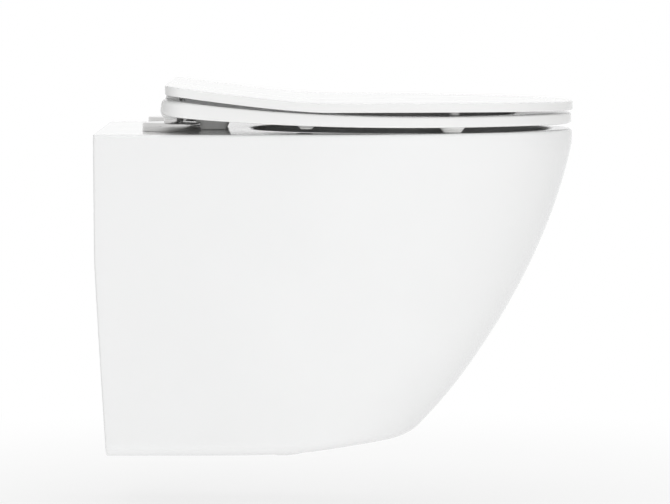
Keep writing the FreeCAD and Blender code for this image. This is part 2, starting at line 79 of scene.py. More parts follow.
class Side(Enum):
    """The two sides of the pan, with the sign of X on each."""

    LEFT = -1
    RIGHT = 1

    @property
    def word(self) -> str:
        """The side's name as the nodes spell it."""
        return self.name.lower()

    def span(self, first: float, last: float) -> list[float]:
        """Two distances from the middle as X values on this side, the lower one first."""
        return sorted((self.value * first, self.value * last))


class Axis(Enum):
    """The three directions that a turned body can lie along."""

    ACROSS = 0
    OUT = 1
    UP = 2


class Change(Enum):
    """What another body does to a piece."""

    CUT = "DIFFERENCE"
    JOIN = "UNION"


# ---------------------------------------------------------------- sizes
@dataclass(frozen=True)
class FrameSizes:
    """The main sizes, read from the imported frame, in millimetres.

    Args:
        rim: height of the rim over the origin.
        half_width: half of the pan's width.
        length: from the wall to the front of the pan.
        height: from the rim to the skirt's lower edge.
        hinge_x: the hinges' distance from the middle.
        hinge_out: the hinge axis's distance from the wall.
        hinge_up: the hinge axis's height over the rim.
        peak: the lid's highest point over the rim, at its hinge.
        lid_overhang: how far the lid reaches past the pan, at the sides and the front.
    """

    rim: float
    half_width: float
    length: float
    height: float
    hinge_x: float
    hinge_out: float
    hinge_up: float
    peak: float
    lid_overhang: float = 0.5

    @classmethod
    def read(cls) -> "FrameSizes":
        """Read the sizes from the boxes of the lid, the pan and the right hinge.

        Returns:
            The sizes, with the pan's plan taken from the lid, less its overhang.
        """
        low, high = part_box("lid")
        _, deck_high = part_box("pan_deck")
        skirt_low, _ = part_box("pan_skirt")
        pin_low, pin_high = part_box("hinge_pin_right")
        cover_low, cover_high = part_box("hinge_cover_right")
        axis = (pin_low + pin_high) / 2
        return cls(
            rim=deck_high.z / MM,
            half_width=high.x / MM - cls.lid_overhang,
            length=-low.y / MM - cls.lid_overhang,
            height=(deck_high.z - skirt_low.z) / MM,
            hinge_x=(cover_low.x + cover_high.x) / 2 / MM,
            hinge_out=-axis.y / MM,
            hinge_up=(axis.z - deck_high.z) / MM,
            peak=(high.z - deck_high.z) / MM,
        )


@dataclass(frozen=True)
class SweptHeights:
    """The height curves of the seat and the lid, which sweep up towards the hinge.

    A height is its level plus rise (1 - s)^power, where s is the share of the way along the sweep.

    Args:
        length: the pan's length, where the lid's tip ends.
        seat_gap: from the rim to the seat's underside, at the front.
        seat_thickness: the seat's thickness at the front, and seat_extra: what the rear adds to it.
        seat_rear: how far out the seat's rear lies.
        seat_sweep: how long the seat's sweep is, with seat_power and seat_rise.
        lid_top: from the rim to the lid's top, before it sweeps up or falls.
        lid_rear: how far out the lid's rear lies.
        lid_sweep: how long the lid's sweep is, with lid_power and lid_rise.
        lid_tip_drop: how far the lid's tip falls.
        lid_plate: the lid's thickness inside its edge.
    """

    length: float
    seat_gap: float = 5.8
    seat_thickness: float = 11.0
    seat_rear: float = 67.0
    seat_sweep: float = 330.0
    seat_power: float = 2.6
    seat_rise: float = 12.7
    seat_extra: float = 6.0
    lid_top: float = 31.2
    lid_rear: float = 71.0
    lid_sweep: float = 160.0
    lid_rise: float = 17.8
    lid_power: float = 1.35
    lid_tip_drop: float = 2.4
    lid_plate: float = 5.0

    @staticmethod
    def ahead(out: Array, rear: float, sweep: float) -> Array:
        """The share of a sweep that is still ahead: 1 up to its rear, 0 past its end."""
        return 1 - np.clip((out - rear) / sweep, 0, 1)

    def seat_under(self, out: Array) -> Array:
        """Underside of the seat over the rim."""
        share = self.ahead(out, self.seat_rear, self.seat_sweep)
        return self.seat_gap + self.seat_rise * share ** self.seat_power

    def seat_top(self, out: Array) -> Array:
        """Top of the seat over the rim."""
        extra = self.seat_extra * self.ahead(out, self.seat_rear, self.seat_sweep) ** self.seat_power
        return self.seat_under(out) + self.seat_thickness + extra

    def lid_upper(self, out: Array) -> Array:
        """Top of the lid over the rim.

        Args:
            out: distances from the wall.

        Returns:
            A height for each distance.
        """
        share = self.ahead(out, self.lid_rear, self.lid_sweep)
        shelf = self.lid_rear + self.lid_sweep
        tip = np.clip((out - shelf) / (self.length - shelf), 0, None)
        return self.lid_top + self.lid_rise * share ** self.lid_power - self.lid_tip_drop * tip ** 2


@dataclass(frozen=True)
class HingeSizes:
    """Sizes along the hinge axis, as distances from the middle of the pan, in millimetres.

    Args:
        lug_radius: the lugs' radius, and lug_round: the rounding of their ends.
        bore: radius of the lugs' bores, and bore_depth: how deep they are.
        seat_lug: where each of the seat's lugs starts and ends, and lid_lug: each of the lid's.
        notch_gap: from a lid lug to the front of the seat's notch, and side_gap: to its side.
        barrel: where each block's barrel starts and ends, with barrel_radius and barrel_round.
        pin: radius of the barrel's bore for the pin.
        past: how far a cutter reaches past the face that it opens.
    """

    lug_radius: float = 9.5
    lug_round: float = 1.2
    bore: float = 7.05
    bore_depth: float = 36.0
    seat_lug: tuple[float, float] = (23.5, 61.5)
    lid_lug: tuple[float, float] = (93.5, 131.5)
    notch_gap: float = 2.5
    side_gap: float = 1.0
    barrel: tuple[float, float] = (62.5, 92.5)
    barrel_radius: float = 8.0
    barrel_round: float = 1.0
    pin: float = 4.02
    past: float = 1.0


# ---------------------------------------------------------------- steps, loops and rings
def steps(first: float, last: float, count: int) -> Array:
    """Even steps from first to last, without first itself."""
    return np.linspace(first, last, count + 1)[1:]


def rounding(radius: float | Array, count: int) -> list[tuple[Array, Array]]:
    """The steps of a quarter circle: radius (1 - cos a) and radius (1 - sin a) as a turns to 90 degrees.

    Args:
        radius: one radius, or one for each column.
        count: how many steps there are, both ends included.

    Returns:
        Pairs whose first value grows from 0 to the radius while the second falls from it to 0.
    """
    turn = np.linspace(0, pi / 2, count)
    grown, left = (np.multiply.outer(1 - wave, radius) for wave in (np.cos(turn), np.sin(turn)))
    return list(zip(grown, left))


def ease(share: Array) -> Array:
    """A smooth step: 3 s^2 - 2 s^3, held at 0 and 1 outside."""
    held = np.clip(share, 0, 1)
    return held * held * (3 - 2 * held)


def smooth_curve(places: Array, values: Array, at: float) -> Array:
    """A smooth curve through points: a cubic in each gap, with the slopes of its neighbours.

    Args:
        places: the points' places, rising.
        values: a row of values for each place.
        at: where the curve is read.

    Returns:
        The row of values there.
    """
    slopes = np.gradient(values, places, axis=0)
    index = int(np.clip(np.searchsorted(places, at) - 1, 0, len(places) - 2))
    span = places[index + 1] - places[index]
    share = min(1.0, max(0.0, (at - places[index]) / span))
    square, cube = share ** 2, share ** 3
    low = (2 * cube - 3 * square + 1) * values[index] + (cube - 2 * square + share) * span * slopes[index]
    high = (3 * square - 2 * cube) * values[index + 1] + (cube - square) * span * slopes[index + 1]
    return low + high


@dataclass(frozen=True)
class Outline:
    """A D in plan: straight across the back, a superellipse at the front.

    Args:
        half_width: half of the width of the D.
        straight: how far out the straight sides reach.
        reach: how far out the front reaches.
        back: how far out the back lies.
        corner: radius of the two rear corners.
        power: roundness of the front, 2 is an ellipse.
    """

    half_width: float
    straight: float
    reach: float
    back: float
    corner: float
    power: float = 2.1

    BACK_STEPS = 22
    CORNER_STEPS = 8
    SIDE_STEPS = 24
    FRONT_STEPS = 64

    def loop(self) -> Array:
        """Points (across, out) round the outline, from the middle of the back to the +X side.

        The front is half_width cos(t)^(2/p) across and straight + (reach - straight) sin(t)^(2/p)
        out, the corners are quarter circles and the rest is straight.

        Returns:
            An array of N rows, the second half the mirror image of the first.
        """
        share = np.linspace(0, 1, self.BACK_STEPS, endpoint=False)
        half_back = np.column_stack([share * (self.half_width - self.corner), 0 * share + self.back])
        turn = np.linspace(0, pi / 2, self.CORNER_STEPS, endpoint=False)
        centre = np.array([self.half_width - self.corner, self.back + self.corner])
        corner = centre + self.corner * np.column_stack([np.sin(turn), -np.cos(turn)])
        run = np.linspace(0, 1, self.SIDE_STEPS, endpoint=False)
        start = self.back + self.corner
        side = np.column_stack([0 * run + self.half_width, start + run * (self.straight - start)])
        swing = np.linspace(0, pi / 2, self.FRONT_STEPS + 1)
        front = np.column_stack([
            self.half_width * np.abs(np.cos(swing)) ** (2 / self.power),
            self.straight + (self.reach - self.straight) * np.sin(swing) ** (2 / self.power),
        ])
        front[-1, 0] = 0.0
        half = np.vstack([half_back, corner, side, front])
        return np.vstack([half, half[-2:0:-1] * np.array([-1, 1])])


def oval_on(loop: Array, centre: float, half_long: float, half_wide: float,
            power: float = 2.2) -> Array:
    """A superellipse whose points lie in the directions of a loop's points, seen from its middle.

    The radius in direction a is (|sin a / half_wide|^p + |cos a / half_long|^p)^(-1/p).

    Args:
        loop: the loop whose directions are followed.
        centre: how far out the oval's centre lies.
        half_long: half of its length, outwards.
        half_wide: half of its width, across.
        power: p, 2 is an ellipse and more is squarer.

    Returns:
        Points (across, out), as many as the loop has.
    """
    middle = (loop[:, 1].max() + loop[:, 1].min()) / 2
    angle = np.arctan2(loop[:, 0], loop[:, 1] - middle)
    wide = np.abs(np.sin(angle) / half_wide) ** power
    long = np.abs(np.cos(angle) / half_long) ** power
    radius = (wide + long) ** (-1 / power)
    return np.column_stack([radius * np.sin(angle), centre + radius * np.cos(angle)])


def unit_superellipse(power: float, count: int) -> Array:
    """A closed superellipse that reaches 1 each way.

    It is sin(t)^(2/p) across and -cos(t)^(2/p) out, with the signs kept.

    Args:
        power: p, 2 is a circle and more is squarer.
        count: how many points go round it.

    Returns:
        Points (across, out).
    """
    turn = np.linspace(0, 2 * pi, count, endpoint=False)
    sine, cosine = np.sin(turn), np.cos(turn)
    return np.column_stack([
        np.sign(sine) * np.abs(sine) ** (2 / power),
        -np.sign(cosine) * np.abs(cosine) ** (2 / power),
    ])


def ring(points: Array, up: float | Array) -> Array:
    """A loop at a height, or at a height for each of its points, as (across, out, up)."""
    return np.column_stack([points, np.broadcast_to(up, len(points))])


def between(first: Array, last: Array, count: int) -> list[Array]:
    """Even rings on the straight lines from one ring to another, without the first."""
    return [first + (last - first) * share for share in steps(0, 1, count)]


def rod(radius: float, first: float, last: float, rounded: float) -> Profile:
    """A rod's profile along its axis, with both ends rounded.

    Args:
        radius: the rod's radius.
        first: where it starts.
        last: where it ends.
        rounded: radius of the rounding at both ends.

    Returns:
        Pairs of a radius and a place along the axis.
    """
    ends = rounding(rounded, 5)
    start = [(radius - grown, first + left) for grown, left in reversed(ends)]
    return start + [(radius - grown, last - left) for grown, left in ends]


class Solid:
    """One mesh, gathered from closed stacks of rings, that becomes a Blender object."""

    def __init__(self, name: str, sizes: FrameSizes) -> None:
        """Start a solid without any points.

        Args:
            name: the object's name.
            sizes: the frame's sizes, for the height of the rim and the hinge axis.
        """
        self.name = name
        self.sizes = sizes
        self.points: list[Array] = []
        self.quads: list[Array] = []
        self.fans: list[Array] = []
        self.count = 0

    def place(self, points: Array) -> Array:
        """Turn (across, out, up) in millimetres into the frame's metres."""
        return np.column_stack([points[:, 0], -points[:, 1], points[:, 2] + self.sizes.rim]) * MM

    def stack(self, rings: list[Array], closed: bool = False) -> "Solid":
        """Add a stack of rings: closed joins the last to the first, else both ends get a fan.

        The faces are turned outwards by the sign of the volume, the sum over the triangles of
        a . (b x c) / 6.

        Args:
            rings: arrays of (across, out, up), each with as many points.
            closed: True for a body with a hole through it, False for one with two ends.

        Returns:
            The solid itself.
        """
        grid = np.stack(rings)
        rows, columns = grid.shape[:2]
        number = np.arange(rows * columns).reshape(rows, columns)
        if closed:
            number = np.vstack([number, number[:1]])
        right = np.roll(number, -1, axis=1)
        quads = np.stack([number[:-1], right[:-1], right[1:], number[1:]], axis=-1).reshape(-1, 4)
        points = grid.reshape(-1, 3)
        fans = np.zeros((0, 3), int)
        if not closed:
            points = np.vstack([points, grid[0].mean(0), grid[-1].mean(0)])
            first = np.full(columns, rows * columns)
            low = np.column_stack([right[0], number[0], first])
            high = np.column_stack([number[-1], right[-1], first + 1])
            fans = np.vstack([low, high])
        placed = self.place(points)
        halves = np.vstack([quads[:, [0, 1, 2]], quads[:, [0, 2, 3]], fans])
        a, b, c = (placed[halves[:, corner]] for corner in range(3))
        if np.einsum("ij,ij->i", a, np.cross(b, c)).sum() < 0:
            quads, fans = quads[:, ::-1], fans[:, ::-1]
        self.points.append(placed)
        self.quads.append(quads + self.count)
        self.fans.append(fans + self.count)
        self.count += len(placed)
        return self

    def turned(self, centre: Place, axis: Axis, profile: Profile, closed: bool = False,
               count: int = 96) -> "Solid":
        """Add a lathe turned body, whose points lie radius cos(t) and radius sin(t) off its axis.

        Args:
            centre: where the axis starts, as (across, out, up).
            axis: the direction of the axis.
            profile: (radius, distance along the axis) from one end to the other.
            closed: True where the profile is a loop, as on a body with a bore.
            count: how many steps make a full turn.

        Returns:
            The solid itself.
        """
        turn = np.linspace(0, 2 * pi, count, endpoint=False)
        radius, along = np.array(profile, float).T[:, :, None]
        grid = np.tile(np.array(centre, float), (len(profile), count, 1))
        first, second = (index for index in range(3) if index != axis.value)
        grid[..., first] += radius * np.cos(turn)
        grid[..., second] += radius * np.sin(turn)
        grid[..., axis.value] += along
        return self.stack(list(grid), closed)

    def on_hinge(self, side: Side, profile: Profile) -> "Solid":
        """Add a body turned about the hinge axis, its profile measured from the middle of the pan."""
        axis = (0.0, self.sizes.hinge_out, self.sizes.hinge_up)
        return self.turned(axis, Axis.ACROSS, [(radius, side.value * at) for radius, at in profile])

    def block(self, low: Place, high: Place) -> "Solid":
        """Add a box, to cut or to join with.

        Args:
            low: one corner, as (across, out, up).
            high: the corner opposite to it.

        Returns:
            The solid itself.
        """
        x0, out0, up0 = low
        x1, out1, up1 = high
        corners = np.array([(x0, out0), (x1, out0), (x1, out1), (x0, out1)])
        return self.stack([ring(corners, up0), ring(corners, up1)])

    def build(self, crease: float = 35.0) -> Piece:
        """Make the Blender object, shaded smooth.

        Args:
            crease: the angle, in degrees, past which an edge stays sharp.

        Returns:
            The object, linked to the scene.
        """
        points = np.vstack(self.points)
        quads, fans = np.vstack(self.quads), np.vstack(self.fans)
        corners = np.concatenate([quads.ravel(), fans.ravel()])
        totals = np.concatenate([np.full(len(quads), 4), np.full(len(fans), 3)])
        mesh = bpy.data.meshes.new(self.name)
        mesh.vertices.add(len(points))
        mesh.vertices.foreach_set("co", points.ravel())
        mesh.loops.add(len(corners))
        mesh.loops.foreach_set("vertex_index", corners)
        mesh.polygons.add(len(totals))
        mesh.polygons.foreach_set("loop_start", np.cumsum(totals) - totals)
        mesh.update(calc_edges=True)
        piece = bpy.data.objects.new(self.name, mesh)
        bpy.context.scene.collection.objects.link(piece)
        shade_smooth(mesh, crease)
        return piece


def shade_smooth(mesh: bpy.types.Mesh, crease: float) -> None:
    """Shade a mesh smooth.

    Args:
        mesh: the mesh.
        crease: the angle, in degrees, past which an edge stays sharp.
    """
    mesh.polygons.foreach_set("use_smooth", np.ones(len(mesh.polygons), bool))
    mesh.set_sharp_from_angle(angle=radians(crease))
    mesh.update()


def combine(piece: Piece, *changes: tuple[Change, Solid], crease: float = 35.0) -> Piece:
    """Cut other bodies from a piece, or join them to it, in order.

    Args:
        piece: the object whose mesh changes.
        *changes: pairs of a change and the solid that makes it.
        crease: the angle, in degrees, past which an edge stays sharp.

    Returns:
        The piece.
    """
    others = [solid.build() for _, solid in changes]
    for (change, _), other in zip(changes, others):
        modifier = piece.modifiers.new("combine", "BOOLEAN")
        modifier.operation = change.value
        modifier.solver = "EXACT"
        modifier.object = other
    bpy.context.view_layer.update()
    evaluated = piece.evaluated_get(bpy.context.evaluated_depsgraph_get())
    mesh = bpy.data.meshes.new_from_object(evaluated)
    piece.modifiers.clear()
    old = piece.data
    piece.data = mesh
    for used in (*(other.data for other in others), old):
        bpy.data.meshes.remove(used)
    mesh.name = piece.name
    shade_smooth(mesh, crease)
    return piece


# ---------------------------------------------------------------- shader trees
class Tree:
    """A node tree, in which one call adds a node with its links, values and settings."""

    def __init__(self, tree: NodeTree) -> None:
        """Take the tree that is to be filled."""
        self.tree = tree

    def node(self, kind: str, links: dict[str | int, Socket] | None = None,
             values: dict[str | int, float | tuple] | None = None,
             **settings: str | bool | NodeTree) -> bpy.types.Node:
        """Add a node.

        Args:
            kind: its type, without the ShaderNode in front.
            links: for each input, the socket that feeds it.
            values: the values of other inputs.
            **settings: its own settings.

        Returns:
            The node.
        """
        node = self.tree.nodes.new("ShaderNode" + kind)
        for key, value in settings.items():
            setattr(node, key, value)
        for key, value in (values or {}).items():
            node.inputs[key].default_value = value
        for key, socket in (links or {}).items():
            self.tree.links.new(socket, node.inputs[key])
        return node

    def show(self, share: Socket, first: Socket,
             second: Socket, output: str) -> None:
        """Mix two shaders and put out the result.

        Args:
            share: how much of the second shader there is.
            first: one shader.
            second: the other shader.
            output: the name of the tree's output node.
        """
        mix = self.node("MixShader", {0: share, 1: first, 2: second})
        self.tree.links.new(mix.outputs[0], self.tree.nodes[output].inputs["Surface"])

    def seen(self) -> Socket:
        """Tell the rays that look at something from those that only light it.

        Returns:
            A socket that is 1 for camera, glossy and transmission rays, 0 for the rest.
        """
        path = self.node("LightPath").outputs
        total = path["Is Camera Ray"]
        for name in ("Is Glossy Ray", "Is Transmission Ray"):
            total = self.node("Math", {0: total, 1: path[name]}, operation="MAXIMUM").outputs[0]
        return total


class Surface(Tree):
    """A material under construction."""

    def __init__(self, name: str, color: Color, roughness: float, **values: float | tuple) -> None:
        """Start a material with its Principled shader.

        Args:
            name: the material's name.
            color: the base colour, linear.
            roughness: the base roughness.
            **values: other inputs of the shader, by name, with _ for each space.
        """
        self.material = bpy.data.materials.new(name)
        self.material.use_nodes = True
        super().__init__(self.material.node_tree)
        self.shader = self.tree.nodes["Principled BSDF"]
        self.shader.inputs["Base Color"].default_value = (*color, 1.0)
        self.shader.inputs["Roughness"].default_value = roughness
        for key, value in values.items():
            self.shader.inputs[key.replace("_", " ")].default_value = value
        self.where = self.node("TexCoord").outputs["Object"]

    def group(self, tree: NodeTree, values: dict[str, float | tuple], **feeds: str) -> None:
        """Place a shared group, read at Object coordinates, and feed its outputs to the shader.

        Args:
            tree: the group.
            values: the values of its inputs.
            **feeds: for each output, the shader's input that it is linked to.
        """
        node = self.node("Group", {"Where": self.where}, values, node_tree=tree)
        for output, socket in feeds.items():
            self.tree.links.new(node.outputs[output], self.shader.inputs[socket])


class GroupMaker(Tree):
    """A shader node group under construction."""

    def __init__(self, name: str, inputs: dict[str, str], outputs: dict[str, str]) -> None:
        """Start a group with its sockets.

        Args:
            name: the group's name.
            inputs: names and kinds of its inputs, besides Where.
            outputs: names and kinds of its outputs.
        """
        super().__init__(bpy.data.node_groups.new(name, "ShaderNodeTree"))
        for way, sockets in (("INPUT", {"Where": "Vector", **inputs}), ("OUTPUT", outputs)):
            for key, kind in sockets.items():
                self.tree.interface.new_socket(key, in_out=way, socket_type="NodeSocket" + kind)
        self.given = self.tree.nodes.new("NodeGroupInput").outputs
        self.result = self.tree.nodes.new("NodeGroupOutput").inputs

    def give(self, socket: Socket, name: str) -> None:
        """Link a socket to one of the group's outputs."""
        self.tree.links.new(socket, self.result[name])


def ripple_group() -> NodeTree:
    """A poured or moulded skin: slow waves and fine orange peel.

    Returns:
        The group, which puts out a normal.
    """
    maker = GroupMaker("skin_ripple", {"Wave": "Float", "Wave Depth": "Float", "Peel": "Float",
                                       "Peel Depth": "Float"}, {"Normal": "Vector"})
    given = maker.given
    wave = maker.node("TexNoise", {"Vector": given["Where"], "Scale": given["Wave"]},
                      {"Detail": 1.0, "Roughness": 0.4})
    peel = maker.node("TexNoise", {"Vector": given["Where"], "Scale": given["Peel"]},
                      {"Detail": 2.0, "Roughness": 0.5})
    slow = maker.node("Bump", {"Height": wave.outputs["Fac"], "Distance": given["Wave Depth"]},
                      {"Strength": 1.0})
    fine = maker.node("Bump", {"Height": peel.outputs["Fac"], "Distance": given["Peel Depth"],
                               "Normal": slow.outputs["Normal"]}, {"Strength": 1.0})
    maker.give(fine.outputs["Normal"], "Normal")
    return maker.tree


def mottle_group() -> NodeTree:
    """Slow drift between two colours, and between two roughnesses, by soft noise.

    Returns:
        The group, which puts out a colour and a roughness.
    """
    maker = GroupMaker("mottle", {"Scale": "Float", "Light": "Color", "Dark": "Color",
                                  "Smooth": "Float", "Rough": "Float"},
                       {"Color": "Color", "Roughness": "Float"})
    given = maker.given
    noise = maker.node("TexNoise", {"Vector": given["Where"], "Scale": given["Scale"]},
                       {"Detail": 3.0, "Roughness": 0.55})
    share = maker.node("MapRange", {"Value": noise.outputs["Fac"]}, {"From Min": 0.3, "From Max": 0.7})
    color = maker.node("Mix", {0: share.outputs["Result"], 6: given["Light"], 7: given["Dark"]},
                       data_type="RGBA")
    rough = maker.node("MapRange", {"Value": share.outputs["Result"], "To Min": given["Smooth"],
                                    "To Max": given["Rough"]})
    maker.give(color.outputs[2], "Color")
    maker.give(rough.outputs["Result"], "Roughness")
    return maker.tree


def turning_group() -> NodeTree:
    """Fine rings round an axis, as the lathe leaves them, and scratches.

    Returns:
        The group, which puts out a normal and a roughness.
    """
    maker = GroupMaker("turning", {"Rings": "Float", "Depth": "Float", "Smooth": "Float",
                                   "Rough": "Float"}, {"Normal": "Vector", "Roughness": "Float"})
    given = maker.given
    rings = maker.node("TexWave", {"Vector": given["Where"], "Scale": given["Rings"]},
                       {"Distortion": 1.5, "Detail": 2.0, "Detail Scale": 1.0},
                       wave_type="RINGS", rings_direction="Z")
    scratch = maker.node("TexNoise", {"Vector": given["Where"]}, {"Scale": 900.0, "Detail": 2.0})
    bump = maker.node("Bump", {"Height": rings.outputs["Fac"], "Distance": given["Depth"]},
                      {"Strength": 1.0})
    rough = maker.node("MapRange", {"Value": scratch.outputs["Fac"], "To Min": given["Smooth"],
                                    "To Max": given["Rough"]}, {"From Min": 0.3, "From Max": 0.7})
    maker.give(bump.outputs["Normal"], "Normal")
    maker.give(rough.outputs["Result"], "Roughness")
    return maker.tree


# ---------------------------------------------------------------- finishes
@dataclass(frozen=True)
class Groups:
    """The shader groups that the finishes share."""

    ripple: NodeTree
    mottle: NodeTree
    turning: NodeTree


@dataclass(frozen=True)
class SkinFinish:
    """A finish with a colour that drifts a little and a rippled skin.

    Args:
        name: the material's name.
        light: the lighter of its two colours.
        dark: the darker.
        smooth: the least roughness.
        rough: the most.
        drift: how many colour patches fit in a metre.
        wave: slow waves in a metre, with their depth in metres.
        peel: fine bumps in a metre, with their depth in metres.
        specular: the specular level.
        subsurface: how much light passes under the skin.
    """

    name: str
    light: Color
    dark: Color
    smooth: float
    rough: float
    drift: float = 9.0
    wave: tuple[float, float] = (14.0, 0.0004)
    peel: tuple[float, float] = (420.0, 0.000015)
    specular: float = 0.5
    subsurface: float = 0.0

    def material(self, groups: Groups) -> Material:
        """Make the material.

        Args:
            groups: the shared shader groups.

        Returns:
            The material.
        """
        surface = Surface(self.name, self.light, self.smooth, Specular_IOR_Level=self.specular,
                          Subsurface_Weight=self.subsurface, Subsurface_Scale=1.0,
                          Subsurface_Radius=(0.004, 0.004, 0.003))
        surface.group(groups.mottle, {"Scale": self.drift, "Light": (*self.light, 1.0),
                                      "Dark": (*self.dark, 1.0), "Smooth": self.smooth,
                                      "Rough": self.rough}, Color="Base Color", Roughness="Roughness")
        wave, wave_depth = self.wave
        peel, peel_depth = self.peel
        surface.group(groups.ripple, {"Wave": wave, "Wave Depth": wave_depth, "Peel": peel,
                                      "Peel Depth": peel_depth}, Normal="Normal")
        return surface.material


@dataclass(frozen=True)
class MetalFinish:
    """A turned metal.

    Args:
        name: the material's name.
        color: its colour.
        smooth: the least roughness.
        rough: the most.
        rings: turning rings in a metre.
        depth: their depth in metres.
    """

    name: str
    color: Color
    smooth: float
    rough: float
    rings: float = 260.0
    depth: float = 0.000004

    def material(self, groups: Groups) -> Material:
        """Make the material.

        Args:
            groups: the shared shader groups.

        Returns:
            The material.
        """
        surface = Surface(self.name, self.color, self.smooth, Metallic=1.0)
        surface.group(groups.turning, {"Rings": self.rings, "Depth": self.depth, "Smooth": self.smooth,
                                       "Rough": self.rough}, Normal="Normal", Roughness="Roughness")
        return surface.material


class Finishes:
    """Every material of the toilet, by the name of its slot in the record."""

    ALL = {
        "ceramic": SkinFinish("white_glaze", (0.885, 0.888, 0.888), (0.870, 0.873, 0.872), 0.05, 0.09),
        "seat_plastic": SkinFinish("moulded_white", (0.868, 0.868, 0.864), (0.856, 0.856, 0.851),
                                   0.09, 0.13, wave=(22.0, 0.00015), peel=(900.0, 0.000006)),
        "buffer_rubber": SkinFinish("white_rubber", (0.84, 0.84, 0.83), (0.8, 0.8, 0.785), 0.38, 0.5,
                                    drift=60.0, peel=(2600.0, 0.00002), specular=0.4),
        "cover_steel": MetalFinish("polished_steel", (0.6, 0.595, 0.59), 0.04, 0.09),
        "hardware_steel": MetalFinish("satin_steel", (0.6, 0.6, 0.6), 0.26, 0.36, rings=500.0,
                                      depth=0.00001),
        "nylon": SkinFinish("natural_nylon", (0.8, 0.79, 0.74), (0.76, 0.75, 0.69), 0.4, 0.52,
                            drift=40.0, peel=(1500.0, 0.00002), subsurface=0.15),
        "damper_plastic": SkinFinish("dark_plastic", (0.075, 0.078, 0.084), (0.06, 0.063, 0.068),
                                     0.38, 0.5, drift=50.0, peel=(1800.0, 0.00002)),
        "seal_rubber": SkinFinish("black_rubber", (0.03, 0.03, 0.032), (0.022, 0.022, 0.024),
                                  0.5, 0.62, drift=60.0, peel=(1400.0, 0.00004), specular=0.35),
    }

    def __init__(self) -> None:
        """Make the shared groups and every material."""
        groups = Groups(ripple_group(), mottle_group(), turning_group())
        self.made = {slot: finish.material(groups) for slot, finish in self.ALL.items()}

    def dress(self, piece: Piece, slot: str) -> None:
        """Give a piece its material.

        Args:
            piece: the piece.
            slot: the slot that it belongs to.
        """
        piece.data.materials.clear()
        piece.data.materials.append(self.made[slot])

    def dress_node(self, node: Piece, slot: str) -> None:
        """Give a node of the frame its material.

        Args:
            node: the node's object.
            slot: the slot that it belongs to.
        """
        for holder in node.material_slots:
            holder.link = "OBJECT"
            holder.material = self.made[slot]


@dataclass(frozen=True)
class Assembly:
    """What every sub-assembly needs to put its pieces into the scene.

    Args:
        sizes: the frame's sizes.
        finishes: the materials.
        hinge: the sizes along the hinge axis.
    """

    sizes: FrameSizes
    finishes: Finishes
    hinge: HingeSizes = HingeSizes()

    @property
    def heights(self) -> SweptHeights:
        """The height curves of the seat and the lid."""
        return SweptHeights(self.sizes.length)

    def solid(self, name: str) -> Solid:
        """Start a solid."""
        return Solid(name, self.sizes)

    def keep(self, piece: Piece, body: str, slot: str, *nodes: str) -> None:
        """Dress a piece, let it ride on a body and stand for its nodes.

        Args:
            piece: the finished piece.
            body: the body that it moves with.
            slot: its material slot.
            *nodes: the nodes that it replaces.
        """
        self.finishes.dress(piece, slot)
        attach(piece, body)
        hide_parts(*nodes)
        LOG.info("%s: %d faces, rides on %s", piece.name, len(piece.data.polygons), body)


# ---------------------------------------------------------------- the ceramic pan
@dataclass(frozen=True)
class PanSizes:
    """The ceramic's own sizes, in millimetres, each as on the real pan.

    Args:
        band: height of the upright band under the rim.
        front_rake: how far the front leans back by the lower edge.
        front_lean: the share of it that is a straight lean.
        side_rake: how far each side leans in by the lower edge.
        side_lean: the share of it that is a straight lean.
        side_straight: straight part of the side at the rim.
        lower_straight: the same at the lower edge.
        rim_round: rounding of the rim's outer edge.
        bowl_round: rounding of the bowl's upper edge.
        edge_round: rounding of the lower edge.
        lip: how far the lower edge turns in, and lip_height: over what height.
        wall: thickness of the skirt and the bowl.
        deck: thickness of the deck.
        back: thickness of the back.
        corner: rounding of the rear corners, and inner_corner: the same inside the skirt.
        relief: the lower back edge stands this far off the wall, from relief_drop down.
        opening_half: half width of the opening in the back, from opening_drop down, with
            opening_round in its corners.
        lift: how far the lower edge rises at the front, over lift_run from lift_out, and lift_drop:
            the depth where it starts to show.
        bowl_rear: the bowl's rear, out from the wall.
        rim_front: width of the rim at the front, and rim_side: at the sides.
        throat_out: where the bowl ends, at throat_drop, with throat_radius.
        throat_power: how late the bowl's middle moves back to the throat.
        stud_x: where the wall studs' holes are, at stud_drop, and stud_hole: their radius.
        seat_hole: radius of the seat bolts' holes.
        inlet_bore: radius of the inlet's bore at inlet_drop, and inlet_wall: the horn's thickness.
        inlet_reach: how far past the bowl's rear the bore is cut.
        horn_start: how far inside the back the horn starts, and horn_short: how far before the
            bowl's rear it ends.
        past: how far a cutter reaches past the face that it opens, and opening_past: how far the
            opening's cutter reaches past the back's inside.
    """

    band: float = 14.0
    front_rake: float = 172.0
    front_lean: float = 0.38
    side_rake: float = 56.0
    side_lean: float = 0.2
    side_straight: float = 195.0
    lower_straight: float = 110.0
    rim_round: float = 4.0
    bowl_round: float = 7.0
    edge_round: float = 15.0
    lip: float = 15.0
    lip_height: float = 40.0
    wall: float = 11.0
    deck: float = 16.0
    back: float = 14.0
    corner: float = 2.0
    inner_corner: float = 12.0
    relief: float = 8.5
    relief_drop: float = 130.0
    opening_half: float = 92.0
    opening_drop: float = 112.0
    opening_round: float = 16.0
    lift: float = 7.0
    lift_out: float = 180.0
    lift_run: float = 120.0
    lift_drop: float = 245.0
    bowl_rear: float = 158.0
    rim_front: float = 25.0
    rim_side: float = 45.0
    throat_out: float = 235.0
    throat_drop: float = 261.0
    throat_radius: float = 31.0
    throat_power: float = 2.2
    stud_x: float = 90.0
    stud_drop: float = 80.0
    stud_hole: float = 10.0
    seat_hole: float = 7.5
    inlet_drop: float = 45.0
    inlet_bore: float = 27.5
    inlet_wall: float = 9.0
    inlet_reach: float = 40.0
    horn_start: float = 2.0
    horn_short: float = 4.0
    past: float = 5.0
    opening_past: float = 0.5


